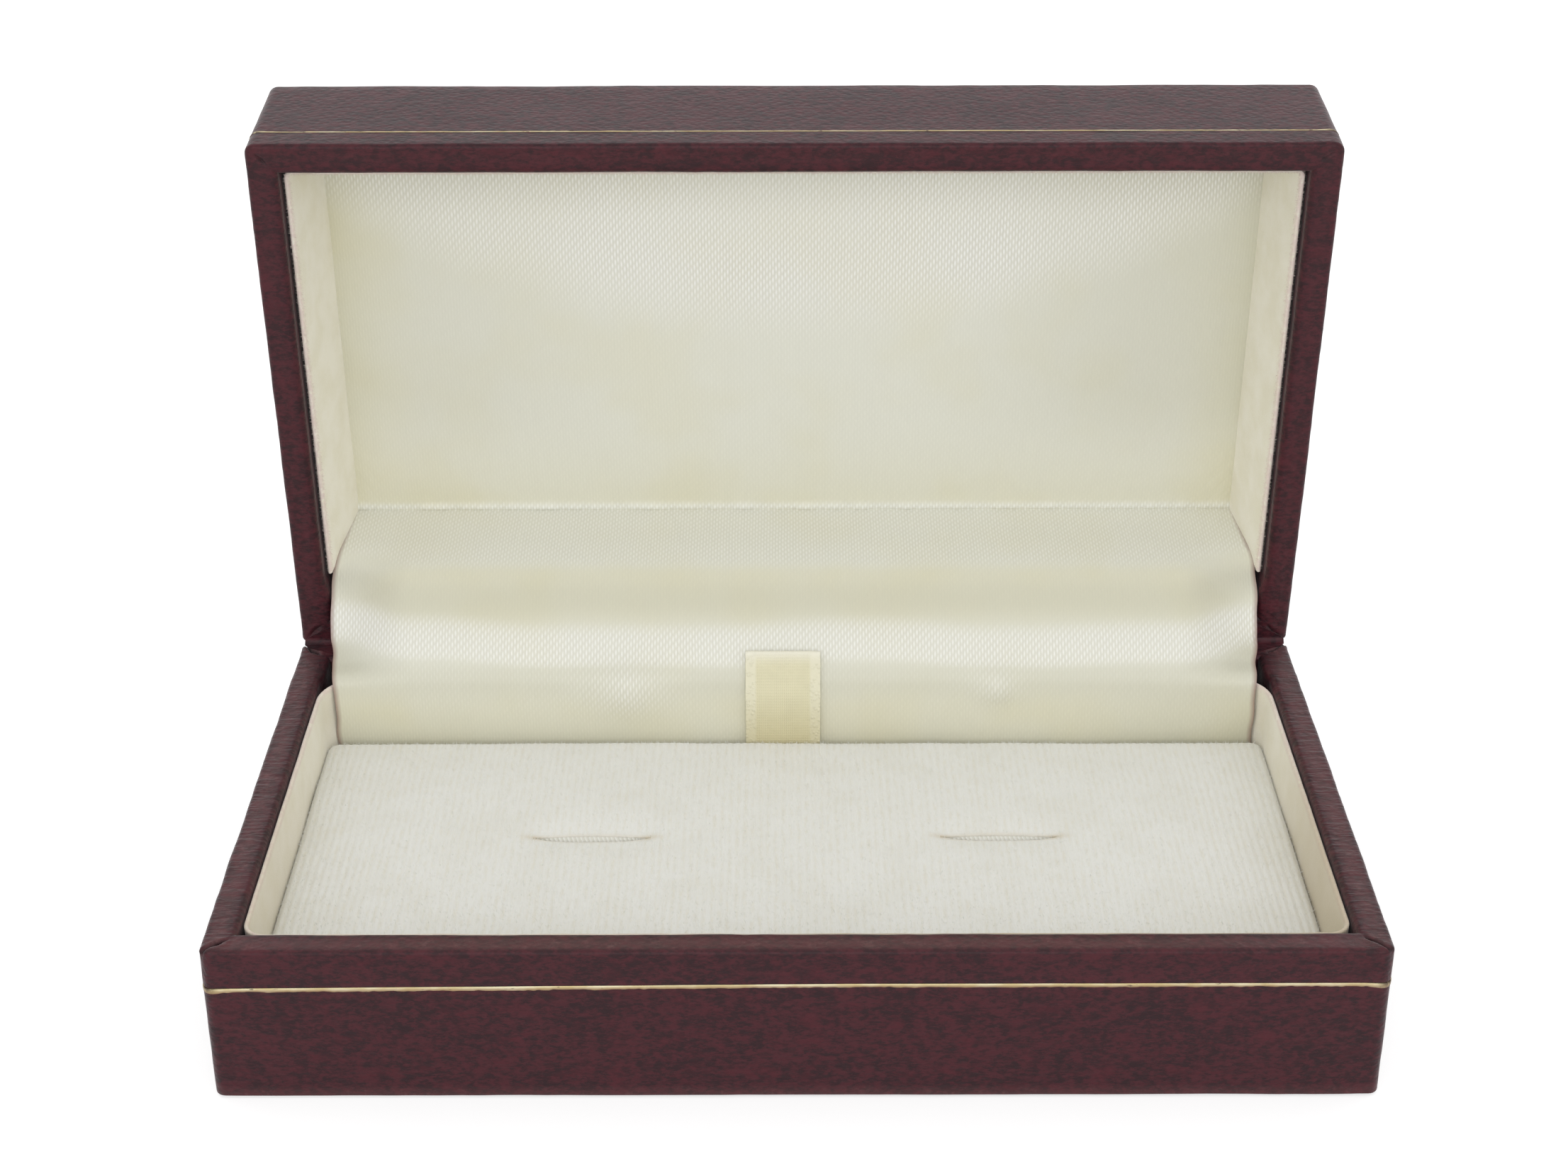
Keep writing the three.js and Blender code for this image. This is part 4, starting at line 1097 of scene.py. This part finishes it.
def make_flap():
    """Satin from the crease of the ceiling to the lid's rim, over the spring bows, and down behind the pad.

    Its sides, with their own half widths, lie lower in the valley of the hinge than its middle does.
    """
    y = HALF_DEPTH - FLAP_SETBACK
    end = (36.4, 23.76)
    profile = [(y, 2.95), (y, 8.0), (y, 12.0), (y + 0.2, 14.0), (y + 1.35, 16.3), (y + 3.7, 19.0),
               (y + 5.9, 21.2), (y + 7.9, 22.35), (y + 10.6, 22.85), (y + 14.5, 23.26), end]
    side_profile = [(y, 2.95, 43.3), (y, 8.0, 43.3), (y, 12.0, 43.3), (y + 0.55, 14.4, 43.45),
                    (y + 3.0, 15.0, 43.75), (y + 5.8, 16.2, 44.25), (y + 7.5, 18.6, 44.3),
                    (y + 8.7, 20.6, 44.22), (y + 10.7, 22.3, 43.98), (y + 14.5, 23.2, 43.5), (*end, 43.08)]
    line, length = smooth_line(profile, 96)
    side_line, _ = smooth_line(side_profile, 96)
    across = np.linspace(-1, 1, 170)
    at_side = smooth(np.abs(across), 0.82, 0.985)[None, :, None]
    x = across[None, :] * side_line[:, 2:]
    place = line[:, None] * (1 - at_side) + side_line[:, None, :2] * at_side
    points = np.concatenate([x[..., None], place], -1)
    normals = grid_normals(points)
    normals *= np.sign(-normals[..., 1].mean())
    z = points[..., 2]
    push = bow_push(points)
    keep = smooth(length, 0.0, 3)[:, None] * smooth(length[-1] - length, 0, 4)[:, None]
    points = points + normals * (push * keep)[..., None]
    fray = 0.13 * cloud(np.stack([np.sign(x) * 9, 0 * x, length[:, None] + 0 * x], -1), 1.9, 43)
    points[..., 0] += np.sign(x) * np.minimum(fray, 0.1) * smooth(np.abs(across), 0.94, 1)
    # Painted shade: darker and yellower low down behind the pad and where the flap lies inside the lid.
    low = 0.55 * smooth(z, 15.5, 11.0)
    inside_lid = 0.6 * smooth(z, 17.5, 20.0) * smooth(points[..., 1], 27.0, 24.5)
    shade = 0.42 * hill(z - 20.3, 1.5) + 0.5 * hill(z - 14.6, 1.5) + 0.16 * smooth(z, 22.3, 21.0)
    shade = shade + 0.25 * smooth(x, 22, 40) * smooth(z, 15, 12)
    band_low = 15.4 + 0.5 * cloud(np.stack([x, 0 * x, 0 * x], -1), 14, 44)
    band = 0.56 * smooth(z, band_low, band_low + 0.9) * smooth(z, band_low + 3.9, band_low + 2.5)
    over_bows = 0.5 * np.clip(push * 1.4, 0, 1) * smooth(z, 17, 15)
    sheen = np.maximum.reduce([band, over_bows, 0.42 * smooth(z, 22.2, 22.8)])
    rim = 0.7 * smooth(np.abs(across), 0.9965, 0.9998) + 0 * x
    marks = {"painted_warm_shade": low + inside_lid, "rim": rim, "sheen": sheen, "shade": np.minimum(shade, 0.6)}
    flat = unrolled(x, length)
    return sheet_piece("satin_hinge_flap", points, FLAP_THICKNESS, SATIN_FINISH, flat, marks), length[-1]


flap, flap_length = make_flap()
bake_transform(flap)
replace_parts(flap, "satin_flap")


def hinge_strip():
    """Leatherette from inside the base, over its back rim, up the lid's back rim and into the lid."""
    out, turn, thickness = 0.07, INNER_EDGE_RADIUS, 0.1
    inside, over = HALF_WIDTH - RIM_WIDTH - 0.75, HALF_WIDTH - 0.3
    section = [(RIM_WIDTH + out, 6.5, inside), (RIM_WIDTH + out, turn, inside)]
    section += [(RIM_WIDTH - turn + (turn + out) * math.cos(a), turn - (turn + out) * math.sin(a), inside)
                for a in np.radians((22, 45, 68))]
    section += [(RIM_WIDTH - turn, -out, inside), (0.6, -out, over - 0.3), (0.3, -out, over)]
    base_side = [(HALF_DEPTH - from_back, BASE_HEIGHT - depth, width) for from_back, depth, width in section]
    lid_side = [(*in_open_box(from_back, depth), width) for from_back, depth, width in section[::-1]]
    line = np.array(base_side + lid_side)
    x = np.linspace(-1, 1, 160)[None, :] * line[:, 2:3]
    marks = {"edge": 0 * x, "seam": 0 * x}
    flat = unrolled(x, np.arange(len(line)))
    return sheet_piece("hinge_leather_strip", swept(x, line), thickness, LEATHER_FINISH, flat, marks)


strip = hinge_strip()
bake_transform(strip)
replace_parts(strip, "hinge_leather")


def spring_bow(side):
    """Spring steel hooked round the lower pin, bulging forward, and hooked round the upper pin."""
    lower = np.array([HALF_DEPTH - PIN_SETBACK, BASE_HEIGHT - PIN_DEPTH])
    upper = np.array(in_open_box(PIN_SETBACK, PIN_DEPTH))

    def curled(centre, start):
        angles = np.radians(start - np.linspace(0, 240, 25))
        return centre + BOW_CURL * np.stack([np.cos(angles), np.sin(angles)], -1)

    front = np.array([HALF_DEPTH - 7.3, BASE_HEIGHT - 1])
    leaves_pin = lower + [-BOW_CURL, 0]
    middle = [leaves_pin, (leaves_pin + front) / 2 - [0.2, 0], front, [HALF_DEPTH - 5.9, BASE_HEIGHT + 1.8],
              upper + [-7, BOW_CURL / 2], upper + [0, BOW_CURL]]
    line, _ = smooth_line(middle, 48)
    line = np.vstack([curled(lower, 420)[:-1], line, curled(upper, 90)[1:]])
    points = swept(HINGES[side] + np.linspace(-BOW_REACH, BOW_REACH, 9), line)
    return sheet_piece("spring_bow_" + side + "_formed", points, 0.4, STEEL_FINISH, points[..., :2] + 50, {})


for side in HINGES:
    bow = spring_bow(side)
    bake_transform(bow)
    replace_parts(bow, "spring_bow_" + side)


# Padded ceiling of the lid

def blown_out(x, y, slack=0.02, frames=30):
    """How full a cloth held along its four edges gets when wadding presses on it.

    Nought to one at each point of the grid, from a cloth simulation in which a millimetre is a centimetre.
    """
    share = lambda v: np.minimum(v - v.min(), v.max() - v) / (v.max() - v.min())
    mesh = bpy.data.meshes.new("held_cloth")
    points = np.stack([x, y, 0 * x], -1).reshape(-1, 3) / 100
    mesh.from_pydata(points.tolist(), [], grid_faces(*x.shape).tolist())
    cloth = link(bpy.data.objects.new("held_cloth", mesh))
    held = cloth.vertex_groups.new(name="held")
    held.add(np.flatnonzero((share(x) * share(y)).ravel() < 1e-9).tolist(), 1.0, "REPLACE")
    modifier = cloth.modifiers.new("wadding", "CLOTH")
    settings = modifier.settings
    settings.quality, settings.mass, settings.air_damping = 6, 0.3, 2.0
    settings.tension_stiffness = settings.compression_stiffness = 12
    settings.shear_stiffness, settings.bending_stiffness = 4, 0.6
    settings.vertex_group_mass, settings.shrink_min = "held", -slack
    modifier.point_cache.frame_start, modifier.point_cache.frame_end = 1, frames
    for frame_number in range(1, frames + 1):
        bpy.context.scene.frame_set(frame_number)
    settled = cloth.evaluated_get(bpy.context.evaluated_depsgraph_get()).to_mesh()
    places = np.zeros(x.size * 3, np.float32)
    settled.vertices.foreach_get("co", places)
    bpy.context.scene.frame_set(1)
    bpy.data.objects.remove(cloth)
    fall = -places.reshape(*x.shape, 3)[..., 2]
    return np.clip(fall / np.percentile(fall, 99), -0.1, 1.05)


def lid_cushion():
    """Satin over wadding: fullest in the middle, pulled down all round and gathered at its lower edge."""
    left, right, front, back = box = (-43.0, 43.0, -21.3, 17.42)
    edge_depth, crown, card_depth = 10.9, 1.6, 11.8
    even = np.linspace(0, 1, 221)
    across = (1 - np.cos(even * math.pi)) / 2 * 0.6 + even * 0.4
    along = (1 - np.cos(np.linspace(0, 1, 81) * math.pi)) / 2
    x, y = np.meshgrid(left + (right - left) * across, front + (back - front) * along)
    flat_points = np.stack([x, y, 0 * x], -1)
    full = blown_out(x, y)
    inset = edge_distance(x, y, box)
    gathers = hill(back - y - 0.45, 0.4)
    depth = edge_depth - crown * full + 0.04 * cloud(flat_points, 13, 51) * full
    depth += 0.05 * np.exp(-inset / 1.6) * cloud(flat_points, 2.2, 52)
    depth -= gathers * (0.16 + 0.14 * cloud(flat_points * [1, 0.2, 1], 0.75, 53))
    top = opened(np.stack([x, y, depth], -1))
    under = opened(np.stack([x, y, np.full_like(x, card_depth)], -1))
    # Painted shade: darker and yellower near the edges, towards the crease and along the left side.
    painted_warm_shade = 0.2 * np.exp(-inset / 3.0) + 0.3 * smooth(y, 6, 16.6) + 0.25 * smooth(x, -34, -43)
    arch = smooth(-y, 1 + 0.007 * x ** 2, 9 + 0.007 * x ** 2)
    sheen = np.maximum(arch * (0.8 + 0.2 * cloud(flat_points, 7, 54)), gathers * 0.6)
    shade = smooth(np.abs(x), 10, 36) * (0.29 + 0.07 * np.sign(x)) * smooth(y, 13, 3)
    marks = {"painted_warm_shade": painted_warm_shade * (1 - gathers), "rim": 0 * x, "shade": shade, "sheen": sheen}
    flat = np.stack([x + 50, 50 - y], -1)
    return closed_between("lid_satin_cushion", top, under, SATIN_FINISH, flat, marks, crisp=70)


cushion = lid_cushion()
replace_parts(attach(cushion, "lid"), "lid_pad_satin", "lid_pad_wadding")


# Insert

def slot_opening(x):
    """Half the width that a slot gapes at x, nought outside the slots."""
    gapes = []
    for centre in SLOTS.values():
        share = np.clip(np.abs(x - centre) / (SLOT_LENGTH / 2), 0, 1)
        gapes.append(0.5 * (1 - share ** 2) ** 0.8)
    return np.maximum(*gapes)


def pad_height(x, y):
    """The pad's top without its ribs: crowned, a little uneven, and drawn down at the slots."""
    flat_points = np.stack([x, y, 0 * x], -1)
    top = VELVET_TOP + 0.22 * np.sin(np.clip(edge_distance(x, y, PAD_BOX) / 12, 0, 1) * math.pi / 2)
    top += 0.09 * cloud(flat_points, 12, 61) + 0.04 * cloud(flat_points, 4, 62)
    for centre in SLOTS.values():
        far = np.hypot(np.maximum(np.abs(x - centre) - 3.5, 0) / 2.6, (y - SLOT_Y) / 2.0)
        top -= 0.34 * hill(far, 1)
    return top


def pad_corners():
    """Which way each upright corner of the pad faces, the middle of its rounding, and its radius."""
    left, right, front, back = PAD_BOX
    for way_y, edge_y, radius in ((-1, front, 1.7), (1, back, 1.2)):
        for way_x, edge_x in ((-1, left), (1, right)):
            yield way_x, way_y, edge_x - way_x * radius, edge_y - way_y * radius, radius


def pad_rows(x):
    """The pad's rows from front to back: each row's Y and how far it is sunk, closely set into the slots."""
    _, _, front, back = PAD_BOX
    reach = 2.7
    lips = np.array([1.9, 1.2, 0.72, 0.36, 0.14])
    slot_wall = [(1.0, 0.0), (0.93, 0.06), (0.9, 0.22), (0.88, 0.6), (0.8, 0.98), (0.35, 1.0)]
    front_rows = front + (SLOT_Y - reach - front) * (1 - np.cos(np.linspace(0, 1, 26) * math.pi / 2))
    back_rows = back - (back - SLOT_Y - reach) * (1 - np.cos(np.linspace(0, 1, 24) * math.pi / 2))[::-1]
    gape = np.maximum(slot_opening(x), 0.012)
    depth = smooth(gape, 0.02, 0.2) * SLOT_DEPTH
    rows = [(y + 0 * x, 0 * x) for y in front_rows]
    rows += [(SLOT_Y - lip - gape, 0 * x) for lip in lips]
    rows += [(SLOT_Y - gape * share, depth * sunk) for share, sunk in slot_wall]
    rows += [(SLOT_Y + gape * share, depth * sunk) for share, sunk in slot_wall[::-1]]
    rows += [(SLOT_Y + lip + gape, 0 * x) for lip in lips[::-1]]
    rows += [(y + 0 * x, 0 * x) for y in back_rows]
    return np.moveaxis(np.array(rows), 1, 0)


def insert_pad():
    """Velvet over foam: one closed skin with rounded edges, tucked in at the slots.

    Gives the pad and the skin that its pile will stand on.
    """
    radius = PAD_EDGE_RADIUS
    columns = np.linspace(*PAD_BOX[:2], 780)
    y, sunk = pad_rows(columns)
    x = np.broadcast_to(columns, y.shape)
    for way_x, way_y, middle_x, middle_y, r in pad_corners():
        dx, dy = x - middle_x, y - middle_y
        far = np.hypot(dx, dy)
        beyond = (dx * way_x > 0) & (dy * way_y > 0) & (far > r)
        pull = np.where(beyond, r / np.maximum(far, 1e-6), 1)
        x, y = middle_x + dx * pull, middle_y + dy * pull
    inset = edge_distance(x, y, PAD_BOX)
    for way_x, way_y, middle_x, middle_y, r in pad_corners():
        dx, dy = (x - middle_x) * way_x, (y - middle_y) * way_y
        inset = np.where((dx > 0) & (dy > 0), np.minimum(inset, r - np.hypot(dx, dy)), inset)
    inset = np.clip(inset, 0, radius)
    drop = radius - np.sqrt(np.maximum(radius ** 2 - (radius - inset) ** 2, 0))
    top = np.stack([x, y, pad_height(x, y) - drop - sunk], -1)
    ring = border(*x.shape)
    points = [top.reshape(-1, 3)]
    faces = list(grid_faces(*x.shape))
    above = ring
    for level in (5.2, INSERT_BOTTOM):
        here = sum(len(p) for p in points) + np.arange(len(ring))
        points.append(points[0][ring] * [0.991, 0.985, 0] + [0, 0, level])
        faces += wall(above, here)
        above = here
    faces.append(above[::-1])
    points = np.concatenate(points)
    gape = slot_opening(x)
    from_slot = np.abs(y - SLOT_Y)
    nap = smooth(inset, 0.1, 0.9) * smooth(sunk, 0.15, 0.0)
    nap = nap * smooth(from_slot, 0.3, 0.9).clip(1 - (gape > 0.01), 1)
    # Painted shade at the slots' lips and ends, which the velvet reads as its slot mark.
    near_slot = hill(np.maximum(from_slot - gape, 0), 0.25) * (gape > 0.01)
    from_end = np.minimum(*(np.abs(np.abs(x - centre) - SLOT_LENGTH / 2) for centre in SLOTS.values()))
    slot = np.clip(near_slot * 0.25 + hill(from_end, 0.9) * hill(from_slot, 0.4) * 0.35, 0, 0.9)
    sides = np.zeros(len(points) - x.size)
    marks = {"nap": np.concatenate([nap.ravel(), sides]), "slot": np.concatenate([slot.ravel(), sides])}
    pad = build("insert_velvet_pad", points, faces, CORD_FINISH, marks, crisp=80)
    inner = top[:-1, :-1]
    lawn = build("insert_pad_pile", inner, grid_faces(*inner.shape[:2]), PILE_FINISH, closed=False)
    return pad, lawn


pad, lawn = insert_pad()
rib_grower().grow(pad, rib_pitch=0.00068, rib_height=0.00008, wander=0.00016)
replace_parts(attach(pad, "insert"), "insert_velvet", "insert_foam")
lawn_pile = pile_grower(PILE_FINISH, "needlecord_fibres")
lawn_pile.grow(lawn, density=9e6, fibre_length=0.00026, fibre_width=0.000022, lean=0.6, seed=2)
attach(lawn, "insert")


def slot_tape(side, centre):
    """A ribbed tape folded into its slot, open at the top and narrowing to the slot's ends."""
    reach = SLOT_LENGTH / 2 - 0.25
    x = np.linspace(-reach, reach, 61)
    half_width = np.maximum(slot_opening(x + centre) - 0.09, 0.03)
    line = [(-1.0, -0.26), (-0.96, -0.5), (-0.88, -0.85)]
    line += quarter(-0.62, -1.1, 0.2, 180, 360, steps=8)
    line += [(-0.3, -0.8), (0.3, -0.5), (0.97, -0.2)]
    share, rise = np.array(line).T[..., None]
    points = np.stack([centre + x + 0 * rise, SLOT_Y + half_width * share, VELVET_TOP + rise + 0 * x], -1)
    flat = unrolled(x + np.zeros(points.shape[:2]), lengths_along(points[:, len(x) // 2]))
    return sheet_piece("slot_tape_" + side + "_woven", points, 0.07, TAPE_FINISH, flat, {})


for side, centre in SLOTS.items():
    tape = slot_tape(side, centre)
    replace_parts(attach(tape, "insert"), "slot_tape_" + side)


def pull_ribbon():
    """A ribbon doubled over at its top, standing behind the pad and leaning back to the satin."""
    y, top, half_gap, thickness = TAB_Y, VELVET_TOP + TAB_RISE, 0.17, 0.16
    profile = [(y, 3.2), (y, VELVET_TOP), (y + 0.1, VELVET_TOP + 4.2), (y + 1.4, top - half_gap)]
    middle, _ = smooth_line(profile, 26)
    slope = np.gradient(middle, axis=0)
    slope /= np.linalg.norm(slope, axis=1, keepdims=True)
    side = np.stack([slope[:, 1], -slope[:, 0]], -1)
    across, along = side[-1], slope[-1]
    fold = [middle[-1] - half_gap * (across * math.cos(a) - along * math.sin(a) * 1.15)
            for a in np.linspace(0, math.pi, 11)[1:-1]]
    line = np.vstack([middle - side * half_gap, fold, (middle + side * half_gap)[::-1]])
    length = lengths_along(line)
    near_fold = hill(length - length[-1] / 2, 0.75)[:, None]
    x = np.linspace(-1, 1, 75)[None, :] * TAB_WIDTH / 2
    from_middle = np.abs(x)
    looped_edge = 0.05 * np.sin(length * 9.5)[:, None] * smooth(from_middle, 3.45, 3.7) * np.sign(x)
    grid_x = TAB_X + x + looped_edge
    points = swept(grid_x, line)
    points[..., 2] += 0.05 * cloud(points, 2.4, 71) * near_fold
    # Painted shade: a slight even tint, growing towards the foot where the ribbon stands between pad and
    # satin.
    low = 0.12 + 0.38 * smooth(points[..., 2], VELVET_TOP + 5.5, VELVET_TOP)
    edge = smooth(from_middle, 2.45, 2.62)
    # The fold mark is a painted highlight along the top of the ribbon.
    marks = {"edge": edge + 0 * grid_x, "fold": 0.9 * near_fold + 0 * grid_x, "low": low}
    return sheet_piece("pull_ribbon", points, thickness, RIBBON_FINISH, unrolled(grid_x, length), marks)


ribbon = pull_ribbon()
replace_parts(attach(ribbon, "insert"), "pull_tab")
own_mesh(ribbon)


# Solids that keep their shape

KEPT_SOLIDS = {
    "hinge_leaf": STEEL_FINISH,
    "hinge_pin": STEEL_FINISH,
    "base_bottom_cover": SHEET_FINISH,
    "base_floor_lining": VELOUR_FINISH,
}
for name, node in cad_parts.items():
    finishes = [finish for start, finish in KEPT_SOLIDS.items() if name.startswith(start)]
    node.data.materials.clear()
    node.data.materials.append((finishes or [BOARD_FINISH])[0])


# Floor, background and light

def seen_directly(graph):
    """One where the camera sees a thing itself or in a gloss, nought where it lights other things."""
    rays = ("Is Camera Ray", "Is Glossy Ray", "Is Transmission Ray")
    camera_ray, glossy_ray, clear_ray = (graph.node("ShaderNodeLightPath", out=key) for key in rays)
    return camera_ray.math("MAXIMUM", glossy_ray).math("MAXIMUM", clear_ray)


def make_floor():
    """A pale floor that looks white and keeps the box's shadow, but sheds little light on the box."""
    grey = (FLOOR_SHADE, FLOOR_SHADE, FLOOR_SHADE, 1)
    finish = Finish("pale_floor", grey, 0.9, emission_strength=FLOOR_LIFT)
    finish.vary(emission_color=finish.mix(seen_directly(finish), (0, 0, 0, 1), (1, 1, 1, 1)))
    ways = ((-1, -1), (1, -1), (1, 1), (-1, 1))
    corners = [(x * FLOOR_REACH, y * FLOOR_REACH, -FLOOR_DROP) for x, y in ways]
    mesh = bpy.data.meshes.new("floor")
    mesh.from_pydata(corners, [], [(0, 1, 2, 3)])
    mesh.materials.append(finish.material)
    link(bpy.data.objects.new("floor", mesh))


def make_world():
    """Even studio light, a little stronger from the sides than from above, behind a white background."""
    world = bpy.data.worlds.new("studio")
    world.use_nodes = True
    bpy.context.scene.world = world
    room = Graph(world.node_tree)
    direction = room.node("ShaderNodeTexCoord", out="Generated")
    height = room.node("ShaderNodeSeparateXYZ", sockets={0: direction}, out=2)
    light = HORIZON_LIGHT + height.ramp(0.0, 1.0) * (ZENITH_LIGHT - HORIZON_LIGHT)
    grey = room.node("ShaderNodeCombineColor", sockets={0: light, 1: light, 2: light})
    colours = {0: seen_directly(room), 6: grey, 7: (1, 1, 1, 1)}
    shown = room.node("ShaderNodeMix", {"data_type": "RGBA"}, colours, out=2)
    background = world.node_tree.nodes["Background"]
    background.inputs["Strength"].default_value = 1.0
    room.tree.links.new(shown.socket, background.inputs["Color"])


def softbox(name, place, aim, width, height, power):
    """A rectangular lamp that points at its aim, in metres and watts."""
    light = bpy.data.lights.new(name, "AREA")
    light.shape, light.size, light.size_y, light.energy = "RECTANGLE", width, height, power
    lamp = link(bpy.data.objects.new(name, light))
    lamp.location = place
    lamp.rotation_euler = (Vector(aim) - Vector(place)).to_track_quat("-Z", "Y").to_euler()


make_floor()
make_world()
softbox("front_softbox", (0.0, -0.75, 0.38), (0, 0, 0.03), 0.5, 0.4, 1.4)

bpy.context.scene.view_settings.view_transform = "Standard"
